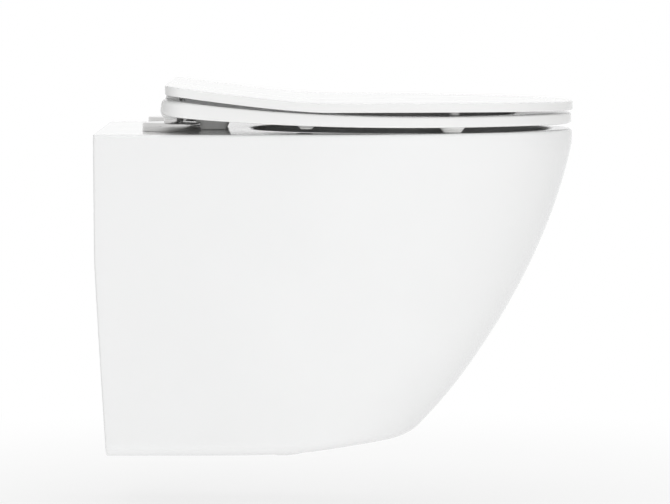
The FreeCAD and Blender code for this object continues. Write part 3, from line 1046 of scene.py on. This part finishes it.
@dataclass(frozen=True)
class TrapSizes:
    """The trap's own sizes, in millimetres.

    Args:
        belly_out: the belly's middle, at belly_drop, and belly_bend: its middle line's radius.
        weir_bend: radius of the middle line over the weir.
        outlet_drop: depth of the spigot's middle.
        bore: radius of the bore, and wall: the tube's thickness.
        spigot_radius: the spigot's outer radius, with spigot_wall and spigot_length.
        end_round: rounding of the spigot's outer edge.
    """

    belly_out: float = 188.0
    belly_drop: float = 258.0
    belly_bend: float = 47.0
    weir_bend: float = 46.0
    outlet_drop: float = 180.0
    bore: float = 28.0
    wall: float = 11.0
    spigot_radius: float = 51.0
    spigot_wall: float = 10.0
    spigot_length: float = 55.0
    end_round: float = 3.0


@dataclass(frozen=True)
class CeramicPan(Assembly):
    """The pan: skirt, rim, deck and bowl as one skin, with the trap and the inlet behind them.

    Args:
        size: the ceramic's sizes, and trap: the trap's.
        shares: at shares of the bowl's depth, the shares of its length and width that are left.
    """

    size: PanSizes = PanSizes()
    trap: TrapSizes = TrapSizes()
    shares: tuple[tuple[float, float, float], ...] = (
        (0.0, 1.0, 1.0), (0.1, 0.99, 0.99), (0.24, 0.93, 0.94), (0.42, 0.79, 0.81),
        (0.57, 0.62, 0.64), (0.71, 0.45, 0.47), (0.84, 0.3, 0.32), (0.94, 0.21, 0.23),
    )

    TRAP_COLUMNS = 72

    def outline(self, drop: float, inset: float, inner: bool) -> Outline:
        """The skirt's outline at a depth below the rim, moved in by inset.

        Below the band the sides lean in by side_rake (l s + (1 - l) s^2), where s is the share of
        the way down and l the straight share, and the front leans back in the same way.

        Args:
            drop: depth below the rim.
            inset: how far inside the outer face.
            inner: True for the inner face, which stops at the back's thickness.

        Returns:
            The outline.
        """
        size, sizes = self.size, self.sizes
        share = max(0.0, (drop - size.band) / (sizes.height - size.band))
        side = size.side_rake * (size.side_lean * share + (1 - size.side_lean) * share ** 2)
        front = size.front_rake * (size.front_lean * share + (1 - size.front_lean) * share ** 2)
        down = drop / sizes.height
        straight = size.side_straight + (size.lower_straight - size.side_straight) * down
        fall = max(0.0, drop - size.relief_drop) / (sizes.height - size.relief_drop)
        back = size.back if inner else size.relief * fall
        corner = size.inner_corner if inner else size.corner
        return Outline(sizes.half_width - side - inset, straight, sizes.length - front - inset,
                       back, corner)

    def skirt(self, drop: float, inset: float = 0.0, inner: bool = False) -> Array:
        """A ring of the skirt at a depth. Near the lower edge it rises towards the front.

        It rises by lift l^2 e, where l is the share of the way down from lift_drop and e eases from
        0 to 1 along lift_run.

        Args:
            drop: depth below the rim.
            inset: how far inside the outer face.
            inner: True for the inner face.

        Returns:
            The ring.
        """
        size = self.size
        loop = self.outline(drop, inset, inner).loop()
        low = max(0.0, drop - size.lift_drop) / (self.sizes.height - size.lift_drop)
        lift = size.lift * low ** 2 * ease((loop[:, 1] - size.lift_out) / size.lift_run)
        return ring(loop, lift - drop)

    def bowl(self, rim: Array, drop: float, grow: float = 0.0, power: float = 2.2) -> Array:
        """The bowl's ring at a depth, larger by grow.

        Half its length and width fall off through the shares by a smooth curve in the share of the
        depth, and its middle moves back to the throat with the depth to throat_power.

        Args:
            rim: the rim's loop, whose directions are followed.
            drop: depth below the rim.
            grow: how much larger than the inside of the bowl.
            power: squareness of the loop.

        Returns:
            The ring.
        """
        size, sizes = self.size, self.sizes
        half_long = (sizes.length - size.rim_front - size.bowl_rear) / 2
        half_wide = sizes.half_width - size.rim_side
        middle = size.bowl_rear + half_long
        depth = drop / self.trap.belly_drop
        throat = (size.throat_drop / self.trap.belly_drop, size.throat_radius / half_long,
                  size.throat_radius / half_wide)
        table = np.array((*self.shares, throat))
        long_share, wide_share = smooth_curve(table[:, 0], table[:, 1:], depth)
        centre = middle + (size.throat_out - middle) * min(depth, 1.0) ** size.throat_power
        return ring(oval_on(rim, centre, half_long * long_share + grow,
                            half_wide * wide_share + grow, power), -drop)

    def shell(self) -> list[Array]:
        """The whole skin, from the lower edge up the outside and back underneath.

        Returns:
            Its rings, for a closed stack.
        """
        size, height = self.size, self.sizes.height
        rings = [self.skirt(height - grown, left) for grown, left in rounding(size.edge_round, 9)]
        rings += [self.skirt(drop) for drop in steps(height - size.edge_round, size.band, 43)]
        rings += [self.skirt(drop) for drop in steps(size.band, size.rim_round, 3)]
        rings += [self.skirt(left, grown) for grown, left in rounding(size.rim_round, 7)[1:]]
        rim = rings[-1][:, :2]
        rings += between(rings[-1], self.bowl(rim, 0.0, size.bowl_round), 8)
        rings += [self.bowl(rim, grown, left) for grown, left in rounding(size.bowl_round, 8)[1:]]
        rings += [self.bowl(rim, drop) for drop in steps(size.bowl_round, size.throat_drop, 43)]
        rings += [self.bowl(rim, drop, grow=size.wall, power=2.0)
                  for drop in np.linspace(size.throat_drop, size.deck, 24)]
        rings += between(rings[-1], self.skirt(size.deck, size.wall, True), 5)
        turned = height - size.lip_height
        rings += [self.skirt(drop, size.wall, True) for drop in steps(size.deck, turned, 15)]
        rings += [self.skirt(turned + size.lip_height * share, size.wall + size.lip * share, True)
                  for share in steps(0, 1, 5)]
        return rings

    def cutter(self) -> Solid:
        """Everything that is cut out of the skin: the back opening and the round holes.

        Returns:
            The cutter, not yet built.
        """
        size, sizes = self.size, self.sizes
        past, half, top = size.past, size.opening_half, -size.opening_drop
        edge = [(half, -sizes.height - past)]
        edge += [(half - grown, top - left) for grown, left in rounding(size.opening_round, 8)]
        side = np.array(edge)
        face = np.vstack([side, side[::-1] * np.array([-1, 1])])
        cutter = self.solid("cutter").stack([np.insert(face, 1, out, axis=1)
                                             for out in (-past, size.back + size.opening_past)])
        through = [(size.stud_hole, -past), (size.stud_hole, size.back + past)]
        deck = [(size.seat_hole, past), (size.seat_hole, -size.deck - past)]
        for hand in Side:
            cutter.turned((hand.value * size.stud_x, 0.0, -size.stud_drop), Axis.OUT, through)
            cutter.turned((hand.value * sizes.hinge_x, sizes.hinge_out, 0.0), Axis.UP, deck)
        port = [(size.inlet_bore, -past), (size.inlet_bore, size.bowl_rear + size.inlet_reach)]
        return cutter.turned((0.0, 0.0, -size.inlet_drop), Axis.OUT, port)

    def trap_path(self) -> tuple[Array, Array, Array]:
        """The trap's middle line as (out, up), its direction, and how far each point is to the end.

        Half a circle down and round the belly, straight up, a quarter circle over the weir, then
        straight back to the wall.

        Returns:
            Points, unit directions and each point's distance from the wall, held at the weir's.
        """
        size = self.trap
        turn = np.linspace(0, pi, 30)
        belly = np.column_stack([size.belly_out + size.belly_bend * np.cos(turn),
                                 -size.belly_drop - size.belly_bend * np.sin(turn)])
        belly_way = np.column_stack([-np.sin(turn), -np.cos(turn)])
        weir_out = size.belly_out - size.belly_bend - size.weir_bend
        turn = np.linspace(0, pi / 2, 18)
        weir = np.column_stack([weir_out + size.weir_bend * np.cos(turn),
                                -size.outlet_drop - size.weir_bend + size.weir_bend * np.sin(turn)])
        weir_way = np.column_stack([-np.sin(turn), np.cos(turn)])
        outs = np.concatenate([steps(weir_out, size.spigot_length, 7),
                               steps(size.spigot_length, 0.0, 5)])
        tail = np.column_stack([outs, np.full(len(outs), -size.outlet_drop)])
        tail_way = np.tile([-1.0, 0.0], (len(outs), 1))
        left = np.concatenate([np.full(len(belly) + len(weir), weir_out), outs])
        return np.vstack([belly, weir, tail]), np.vstack([belly_way, weir_way, tail_way]), left

    def trapway(self) -> Piece:
        """The trap as a bent tube with its bore.

        It is a circle carried along the path. Both radii grow evenly from the weir to the spigot.

        Returns:
            The piece.
        """
        size = self.trap
        points, way, left = self.trap_path()
        wide = np.clip((left[0] - left) / (left[0] - size.spigot_length), 0, 1)
        bore = size.bore + (size.spigot_radius - size.spigot_wall - size.bore) * wide
        outer = size.bore + size.wall + (size.spigot_radius - size.bore - size.wall) * wide
        turn = np.linspace(0, 2 * pi, self.TRAP_COLUMNS, endpoint=False)
        normal = np.column_stack([-way[:, 1], way[:, 0]])

        def hoop(index: int, radius: float, short: float = 0.0) -> Array:
            """A circle square to the path at one of its points, moved off the wall by short."""
            flat = points[index] + radius * np.sin(turn)[:, None] * normal[index]
            return np.column_stack([radius * np.cos(turn), flat[:, 0] + short, flat[:, 1]])

        last = len(points) - 1
        rings = [hoop(index, outer[index]) for index in range(last)]
        rings += [hoop(last, outer[-1] - grown, left) for grown, left in rounding(size.end_round, 5)]
        rings += [hoop(index, bore[index]) for index in range(last, -1, -1)]
        return self.solid("trapway").stack(rings, closed=True).build()

    def inlet_horn(self) -> Piece:
        """The horn between the back and the bowl, with its bore.

        Returns:
            The piece.
        """
        size = self.size
        outer = size.inlet_bore + size.inlet_wall
        first, last = size.back - size.horn_start, size.bowl_rear - size.horn_short
        profile = [(outer, first), (outer, last), (size.inlet_bore, last), (size.inlet_bore, first)]
        horn = self.solid("inlet_horn")
        return horn.turned((0.0, 0.0, -size.inlet_drop), Axis.OUT, profile, closed=True).build()

    def build(self) -> None:
        """Build the pan's three pieces."""
        pan = self.solid("ceramic_pan").stack(self.shell(), closed=True).build()
        combine(pan, (Change.CUT, self.cutter()))
        self.keep(pan, "pan", "ceramic", "pan_deck", "pan_skirt", "pan_back", "pan_bowl")
        self.keep(self.trapway(), "pan", "ceramic", "pan_trap")
        self.keep(self.inlet_horn(), "pan", "ceramic", "pan_inlet")


# ---------------------------------------------------------------- seat and lid
@dataclass(frozen=True)
class SeatRing(Assembly):
    """The seat: a rounded section carried round between the pan's outline and an oval hole.

    Args:
        inset: how far the seat's outline lies inside the pan's.
        corner: rounding of the rear corners, and straight: where the straight sides end.
        hole_rear: the hole's rear, out from the wall.
        front_ring: the ring's width at the front, and side_ring: from the pan's side to the hole.
        outer_round: rounding of the outer edges, which grows to rear_round over rear_run.
        inner_round: rounding of the hole's upper edge, and lower_round: of its lower edge.
        inner_fall: how far the top falls towards the hole.
        notch_low: where the notches for the lid's lugs start over the rim, and notch_high: end.
    """

    inset: float = 1.0
    corner: float = 22.0
    straight: float = 195.0
    hole_rear: float = 172.0
    front_ring: float = 62.0
    side_ring: float = 72.0
    outer_round: float = 2.2
    rear_round: float = 6.0
    rear_run: float = 40.0
    inner_round: float = 5.0
    lower_round: float = 4.0
    inner_fall: float = 1.6
    notch_low: float = -5.0
    notch_high: float = 80.0

    def rings(self) -> list[Array]:
        """The rings of the seat, round its section: outside, top, hole, underside.

        Each column runs from a point of the outline to a point of the hole. A ring lies a step in
        from the outline, sunk under the top or raised over the underside by the roundings. The
        outer rounding grows towards the rear, and the top falls with the square of the way in.

        Returns:
            The rings, for a closed stack.
        """
        heights, sizes = self.heights, self.sizes
        front = sizes.length - self.inset
        outer = Outline(sizes.half_width - self.inset, self.straight, front, heights.seat_rear,
                        self.corner).loop()
        front -= self.front_ring
        inner = oval_on(outer, (front + self.hole_rear) / 2, (front - self.hole_rear) / 2,
                        sizes.half_width - self.side_ring)
        width = np.linalg.norm(inner - outer, axis=1)
        inwards = (inner - outer) / width[:, None]
        rear = ease((heights.seat_rear + self.rear_run - outer[:, 1]) / self.rear_run)
        edge = self.outer_round + (self.rear_round - self.outer_round) * rear

        def over(step: Array, sink: float | Array) -> Array:
            """A ring a step in from the outside, sunk under the top."""
            place = outer + inwards * step[:, None]
            return ring(place, heights.seat_top(place[:, 1]) - sink
                        - self.inner_fall * np.clip(step / width, 0, 1) ** 2)

        def under(step: Array, rise: float | Array) -> Array:
            """A ring a step in from the outside, raised over the underside."""
            place = outer + inwards * step[:, None]
            return ring(place, heights.seat_under(place[:, 1]) + rise)

        top, low = width - edge - self.inner_round, width - edge - self.lower_round
        rings = [over(grown, left) for grown, left in rounding(edge, 8)]
        rings += [over(edge + top * share, 0.0) for share in steps(0, 1, 13)]
        rings += [over(width - left, grown) for grown, left in rounding(self.inner_round, 8)[1:]]
        rings += [under(width - grown, left) for grown, left in rounding(self.lower_round, 8)]
        rings += [under(width - self.lower_round - low * share, 0.0) for share in steps(0, 1, 9)]
        rings += [under(left, grown) for grown, left in rounding(edge, 8)[1:]]
        return rings

    def build(self) -> None:
        """Build the seat, with its notches, lugs and the lugs' bores."""
        sizes, hinge = self.sizes, self.hinge
        seat = self.solid("seat_ring_moulding").stack(self.rings(), closed=True).build()
        notches, lugs, bores = (self.solid(name) for name in ("notches", "lugs", "bores"))
        notch_out = sizes.hinge_out + hinge.lug_radius + hinge.notch_gap
        first, last = hinge.seat_lug
        for side in Side:
            low, high = side.span(last, hinge.lid_lug[1] + hinge.side_gap)
            notches.block((low, 0.0, self.notch_low), (high, notch_out, self.notch_high))
            lugs.on_hinge(side, rod(hinge.lug_radius, first, last, hinge.lug_round))
            bores.on_hinge(side, [(hinge.bore, last - hinge.bore_depth),
                                  (hinge.bore, last + hinge.past)])
        combine(seat, (Change.CUT, notches), (Change.JOIN, lugs), (Change.CUT, bores))
        self.keep(seat, "seat", "seat_plastic", "seat_ring")


@dataclass(frozen=True)
class Lid(Assembly):
    """The lid: a thin shell with a turned down edge, closed over the seat.

    Args:
        corner: rounding of the rear corners, and straight: where the straight sides end.
        edge: height of the turned down edge, and rim_width: its width underneath.
        top_round: rounding of the edge's top, and low_round: of its bottom.
        start_share: where the rings start and end, as a share of the way out from the middle.
        web_side: how far inside a lug's ends its web stops.
        web_rear: how far in front of the lid's rear the web starts, and web_front: how far behind
            the lug's front it ends.
    """

    corner: float = 18.0
    straight: float = 195.0
    edge: float = 9.4
    rim_width: float = 15.0
    top_round: float = 1.2
    low_round: float = 1.0
    start_share: float = 0.02
    web_side: float = 0.01
    web_rear: float = 0.4
    web_front: float = 0.02

    def rings(self) -> list[Array]:
        """The rings of the lid, from the middle of its top, round its edge, to its underside.

        Each column runs from the lid's middle to a point of its outline, and every height is the
        top's where it is, less a depth.

        Returns:
            The rings, for a stack with two ends.
        """
        heights, sizes = self.heights, self.sizes
        outer = Outline(sizes.half_width + sizes.lid_overhang, self.straight,
                        sizes.length + sizes.lid_overhang, heights.lid_rear, self.corner).loop()
        middle = np.array([0.0, (heights.lid_rear + sizes.length) / 2])
        inwards = (middle - outer) / np.linalg.norm(middle - outer, axis=1)[:, None]

        def under(place: Array, depth: float) -> Array:
            """A ring at a depth under the top, held under the lid's highest point."""
            return ring(place, np.minimum(heights.lid_upper(place[:, 1]) - depth, sizes.peak))

        edge, plate = self.edge, heights.lid_plate
        top = outer + inwards * self.top_round
        wall = outer + inwards * self.rim_width
        reach = edge - plate - self.low_round
        inner = wall + inwards * reach
        low = rounding(self.low_round, 7)
        rings = [under(middle + (top - middle) * share, 0.0)
                 for share in np.linspace(self.start_share, 1, 30)]
        rings += [under(outer + inwards * left, grown) for grown, left in rounding(self.top_round, 7)[1:]]
        rings += [under(outer + inwards * grown, edge - left) for grown, left in low]
        rings += [under(wall - inwards * left, edge - grown) for grown, left in low]
        rings += [under(wall + inwards * grown, plate + left) for grown, left in rounding(reach, 7)]
        rings += [under(middle + (inner - middle) * share, plate)
                  for share in steps(1, self.start_share, 23)]
        return rings

    def build(self) -> None:
        """Build the lid, with its lugs, the webs that carry them and the lugs' bores."""
        sizes, hinge = self.sizes, self.hinge
        cover = self.solid("lid_moulding").stack(self.rings()).build()
        webs, lugs, bores = (self.solid(name) for name in ("webs", "lugs", "bores"))
        front = sizes.hinge_out + hinge.lug_radius
        top = float(self.heights.lid_upper(np.array(front))) - self.edge / 2
        first, last = hinge.lid_lug
        for side in Side:
            low, high = side.span(first + self.web_side, last - self.web_side)
            webs.block((low, self.heights.lid_rear + self.web_rear, sizes.hinge_up),
                       (high, front - self.web_front, top))
            lugs.on_hinge(side, rod(hinge.lug_radius, first, last, hinge.lug_round))
            bores.on_hinge(side, [(hinge.bore, first - hinge.past),
                                  (hinge.bore, first + hinge.bore_depth)])
        combine(cover, (Change.JOIN, webs), (Change.JOIN, lugs), (Change.CUT, bores))
        self.keep(cover, "lid", "seat_plastic", "lid")


@dataclass(frozen=True)
class Buffers(Assembly):
    """The white rubber buffers: pads that swell a little between a narrower foot and the seat.

    Args:
        taper: how much narrower a pad's foot is all round, and lid_taper: the same under the lid.
        foot_round: rounding of a pad's foot, and lid_foot_round: the same under the lid.
        bite: how far the head reaches into the seat or the lid.
        power: squareness of the pads in plan.
        foot_shares: the rings of the foot's face, as shares of its size.
        head_share: the last ring of the head, as a share of its size.
    """

    taper: float = 3.0
    foot_round: float = 1.4
    lid_taper: float = 0.8
    lid_foot_round: float = 0.6
    bite: float = 0.6
    power: float = 2.4
    foot_shares: tuple[float, ...] = (0.15, 0.6, 0.9)
    head_share: float = 0.5

    COLUMNS = 56

    def pad(self, node: str, name: str, under_seat: bool) -> Piece:
        """A rounded pad in its node's box: foot below, head in the seat or the lid.

        Its half width grows from the foot by taper sin(share pi / 2), and the foot's edge is
        rounded. The pads under the lid are straighter.

        Args:
            node: the node that it stands for.
            name: the piece's name.
            under_seat: True under the seat, False under the lid.

        Returns:
            The pad.
        """
        low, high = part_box(node)
        centre = np.array([(low.x + high.x) / 2, -(low.y + high.y) / 2]) / MM
        half = np.array([high.x - low.x, high.y - low.y]) / 2 / MM
        foot = low.z / MM - self.sizes.rim
        outline = unit_superellipse(self.power, self.COLUMNS)
        out = (centre + outline * half)[:, 1]
        if under_seat:
            head = self.heights.seat_under(out) + self.bite
            taper, rounded = self.taper, self.foot_round
        else:
            head = self.heights.lid_upper(out) - self.heights.lid_plate + self.bite
            taper, rounded = self.lid_taper, self.lid_foot_round
        taper = min(taper, float(head.min()) - foot)
        start = foot + rounded
        rings = [ring(centre + outline * (half - taper - rounded) * share, foot)
                 for share in self.foot_shares]
        rings += [ring(centre + outline * (half - taper - left), foot + grown)
                  for grown, left in rounding(rounded, 6)]
        rings += [ring(centre + outline * (half - taper * (1 - np.sin(share * pi / 2))),
                       start + (head - start) * share) for share in steps(0, 1, 8)]
        rings.append(ring(centre + outline * half * self.head_share, head))
        return self.solid(name).stack(rings).build()

    def build(self) -> None:
        """Build the eight buffers."""
        for side in Side:
            for kind, body in (("rear", "seat"), ("middle", "seat"), ("front", "seat"), ("lid", "lid")):
                node = f"{kind}_buffer_{side.word}"
                pad = self.pad(node, f"{kind}_pad_{side.word}", body == "seat")
                self.keep(pad, body, "buffer_rubber", node)


# ---------------------------------------------------------------- hinges
@dataclass(frozen=True)
class HingeSet(Assembly):
    """The covers and blocks that carry the seat and the lid.

    Args:
        cover_wall: thickness of the cover, and cover_round: rounding of its upper edge.
        foot_round: rounding of its foot, whose middle point lies foot_share of it in from each face.
        crown: how far the cover rises to its middle, and crown_rate: how soon it does.
        neck_hole: radius of the cover's hole.
        neck_radius: the neck's radius, and neck_foot: how high over the rim it starts, with
            neck_chamfer round its foot.
        socket_radius: radius of the socket for the pin in the foot, and socket_depth: its depth.
    """

    cover_wall: float = 1.2
    cover_round: float = 1.3
    foot_round: float = 0.5
    foot_share: float = 0.3
    crown: float = 0.5
    crown_rate: float = 1.6
    neck_hole: float = 8.4
    neck_radius: float = 8.0
    neck_foot: float = 6.0
    neck_chamfer: float = 0.4
    socket_radius: float = 5.05
    socket_depth: float = 9.0

    def cover(self, side: Side) -> Piece:
        """A thin polished cap with a rounded edge and a hole for the neck.

        From the edge to the hole its top rises by the crown times a smooth step of the way in.

        Args:
            side: the side that it stands on.

        Returns:
            The piece.
        """
        low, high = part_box(f"hinge_cover_{side.word}")
        radius = (high.x - low.x) / 2 / MM
        height = (high.z - low.z) / MM
        edge, foot, wall = self.cover_round, self.foot_round, self.cover_wall
        shelf, inner, cut = height - self.crown, radius - edge, foot * self.foot_share
        profile = [(radius - foot, 0.0), (radius - cut, cut), (radius, foot)]
        profile += [(radius - grown, shelf - left) for grown, left in rounding(edge, 9)]
        profile += [(inner + (self.neck_hole - inner) * share,
                     shelf + self.crown * ease(share * self.crown_rate)) for share in steps(0, 1, 11)]
        profile += [(self.neck_hole, height - wall), (inner - wall, shelf - wall),
                    (radius - wall, shelf - edge), (radius - wall, 0.0)]
        centre = (side.value * self.sizes.hinge_x, self.sizes.hinge_out, low.z / MM - self.sizes.rim)
        cap = self.solid(f"rosette_{side.word}")
        return cap.turned(centre, Axis.UP, profile, closed=True, count=160).build(crease=28.0)

    def block(self, side: Side) -> Piece:
        """The neck that stands on the bolt and the barrel across its top.

        Args:
            side: the side that they stand on.

        Returns:
            The piece.
        """
        sizes, hinge, foot = self.sizes, self.hinge, self.neck_foot
        middle = (side.value * sizes.hinge_x, sizes.hinge_out, 0.0)
        radius, chamfer = self.neck_radius, self.neck_chamfer
        post = self.solid(f"hinge_post_{side.word}").turned(
            middle, Axis.UP, [(radius - chamfer, foot), (radius, foot + chamfer),
                              (radius, sizes.hinge_up)]).build()
        first, last = hinge.barrel
        barrel = self.solid("barrel").on_hinge(side, rod(hinge.barrel_radius, first, last,
                                                         hinge.barrel_round))
        bore = self.solid("bore").on_hinge(side, [(hinge.pin, first - hinge.past),
                                                  (hinge.pin, last + hinge.past)])
        bore.turned(middle, Axis.UP, [(self.socket_radius, foot - hinge.past),
                                      (self.socket_radius, foot + self.socket_depth)])
        return combine(post, (Change.JOIN, barrel), (Change.CUT, bore))

    def build(self) -> None:
        """Build the covers and blocks of both hinges."""
        for side in Side:
            self.keep(self.cover(side), "pan", "cover_steel", f"hinge_cover_{side.word}")
            self.keep(self.block(side), "pan", "cover_steel", f"hinge_block_{side.word}")


# ---------------------------------------------------------------- studio
@dataclass(frozen=True)
class Lamp:
    """A soft square lamp that faces the middle of the pan, in metres and watts.

    Args:
        name: its name.
        place: where it hangs.
        size: how wide it is.
        power: how strong it is.
    """

    name: str
    place: Place
    size: float
    power: float


@dataclass(frozen=True)
class Studio:
    """The floor, the light and the camera, in metres and degrees.

    Args:
        middle: the point that the lamps face, over the middle of the floor.
        floor: height of the floor under the wall studs.
        floor_white: the floor's colour.
        floor_radii: the radii of its rings.
        fade: how far from its middle the floor starts and ends to turn all white, and
            fade_share: how white it is before.
        glow: how much of the floor's white also lights the pan from below.
        eye: where the camera stands.
        pitch: how far it looks down.
        yaw: how far it turns towards the pan's front, from straight along +X.
        lens: focal length, and sensor: the sensor's width, in millimetres.
        clip: how near and how far the camera sees.
        ambient: strength of the even light.
        lamps: the other lights.
    """

    middle: Place = (0.0, -0.25, 0.0)
    floor: float = -0.32
    floor_white: Color = (0.86, 0.86, 0.855)
    floor_radii: tuple[float, ...] = (0.4, 1.2, 4.0, 30.0)
    fade: tuple[float, float] = (0.2, 0.9)
    fade_share: float = 0.8
    glow: float = 0.8
    eye: Place = (-3.693, -0.1947, 0.2289)
    pitch: float = 4.32
    yaw: float = 0.745
    lens: float = 190.13
    sensor: float = 36.0
    clip: tuple[float, float] = (0.05, 60.0)
    ambient: float = 0.12
    lamps: tuple[Lamp, ...] = (
        Lamp("front", (-4.0, -0.25, 0.12), 0.8, 49.0),
        Lamp("key", (-2.3, -2.5, 0.8), 1.6, 17.0),
        Lamp("top", (0.0, -0.3, 2.6), 2.4, 55.0),
    )

    FLOOR_COLUMNS = 96

    def add(self, name: str, data: bpy.types.ID, place: Place, look: Vector) -> Piece:
        """Put a lamp or a camera in its place.

        Args:
            name: its name.
            data: the lamp's or the camera's data.
            place: where it stands.
            look: the direction that it looks along.

        Returns:
            The object, linked to the scene.
        """
        thing = bpy.data.objects.new(name, data)
        thing.location = place
        thing.rotation_euler = look.to_track_quat("-Z", "Y").to_euler()
        bpy.context.scene.collection.objects.link(thing)
        return thing

    def camera(self) -> None:
        """Place the camera: it looks along +X, turned and tilted a little."""
        data = bpy.data.cameras.new("camera")
        data.lens = self.lens
        data.sensor_width = self.sensor
        data.clip_start, data.clip_end = self.clip
        look = Vector((1.0, -tan(radians(self.yaw)), -tan(radians(self.pitch))))
        bpy.context.scene.camera = self.add("camera", data, self.eye, look)

    def light(self, lamp: Lamp) -> None:
        """Hang up a lamp, which polished faces don't show.

        Args:
            lamp: the lamp.
        """
        data = bpy.data.lights.new(lamp.name, "AREA")
        data.shape = "SQUARE"
        data.size = lamp.size
        data.energy = lamp.power
        look = Vector(self.middle) - Vector(lamp.place)
        self.add(lamp.name, data, lamp.place, look).visible_glossy = False

    def world(self) -> None:
        """Even light, with plain white wherever it is looked at."""
        world = bpy.data.worlds.new("studio")
        bpy.context.scene.world = world
        world.use_nodes = True
        tree = Tree(world.node_tree)
        even = world.node_tree.nodes["Background"]
        even.inputs["Color"].default_value = WHITE
        even.inputs["Strength"].default_value = self.ambient
        white = tree.node("Background", values={"Color": WHITE, "Strength": 1.0})
        tree.show(tree.seen(), even.outputs[0], white.outputs[0], "World Output")

    def floor_material(self) -> Material:
        """Pale and matte, mixed with plain white where it is looked at, all white further out.

        Returns:
            The material.
        """
        surface = Surface("pale_floor", self.floor_white, roughness=0.9, Specular_IOR_Level=0.0)
        white = surface.node("Emission", values={"Strength": 1.0})
        centre = surface.node("VectorMath", {0: surface.where}, {1: (*self.middle[:2], self.floor)},
                              operation="DISTANCE")
        start, end = self.fade
        fade = surface.node("MapRange", {"Value": centre.outputs["Value"]},
                            {"From Min": start, "From Max": end, "To Min": self.fade_share,
                             "To Max": 1.0}, interpolation_type="SMOOTHSTEP")
        glow = surface.node("Math", {0: surface.seen()}, {1: self.glow}, operation="MAXIMUM")
        share = surface.node("Math", {0: glow.outputs[0], 1: fade.outputs["Result"]},
                             operation="MULTIPLY")
        surface.show(share.outputs[0], surface.shader.outputs[0], white.outputs[0], "Material Output")
        return surface.material

    def ground(self) -> None:
        """A pale round floor that keeps the shadow near the pan and fades to white around it."""
        columns = self.FLOOR_COLUMNS
        turn = np.linspace(0, 2 * pi, columns, endpoint=False)
        middle = np.array([*self.middle[:2], self.floor])
        circle = np.column_stack([np.cos(turn), np.sin(turn), 0 * turn])
        points = np.vstack([*(middle + radius * circle for radius in self.floor_radii), middle])
        number = np.arange(len(points) - 1).reshape(-1, columns)
        right = np.roll(number, -1, axis=1)
        quads = np.stack([number[:-1], number[1:], right[1:], right[:-1]], axis=-1).reshape(-1, 4)
        fan = np.column_stack([number[0], right[0], np.full(columns, len(points) - 1)])
        mesh = bpy.data.meshes.new("floor")
        mesh.from_pydata(points.tolist(), [], quads.tolist() + fan.tolist())
        floor = bpy.data.objects.new("floor", mesh)
        bpy.context.scene.collection.objects.link(floor)
        mesh.materials.append(self.floor_material())

    def build(self) -> None:
        """Set up the studio."""
        self.camera()
        self.world()
        for lamp in self.lamps:
            self.light(lamp)
        self.ground()
        bpy.context.scene.view_settings.view_transform = "Standard"


def dress_nodes(frame: dict, finishes: Finishes) -> None:
    """Give every node that still shows its slot's material.

    Args:
        finishes: the materials.
    """
    slots = {part["node"]: part["material_slot"] for part in frame["record"]["subparts"]}
    for name, node in frame["nodes"].items():
        if not node.hide_render:
            finishes.dress_node(node, slots[name])
            LOG.info("%s: kept, dressed as %s", name, slots[name])


def corners(bounds: tuple) -> list[list[float]]:
    """A box's two corners as plain lists."""
    return [[float(value) for value in corner] for corner in bounds]


def main() -> None:
    """Build the whole scene in order."""
    logging.basicConfig(level=logging.INFO, format="%(name)s: %(message)s")
    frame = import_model()
    sizes = FrameSizes.read()
    finishes = Finishes()
    for kind in (CeramicPan, SeatRing, Lid, Buffers, HingeSet):
        kind(sizes, finishes).build()
    dress_nodes(frame, finishes)
    Studio().build()


if __name__ == "__main__":
    main()
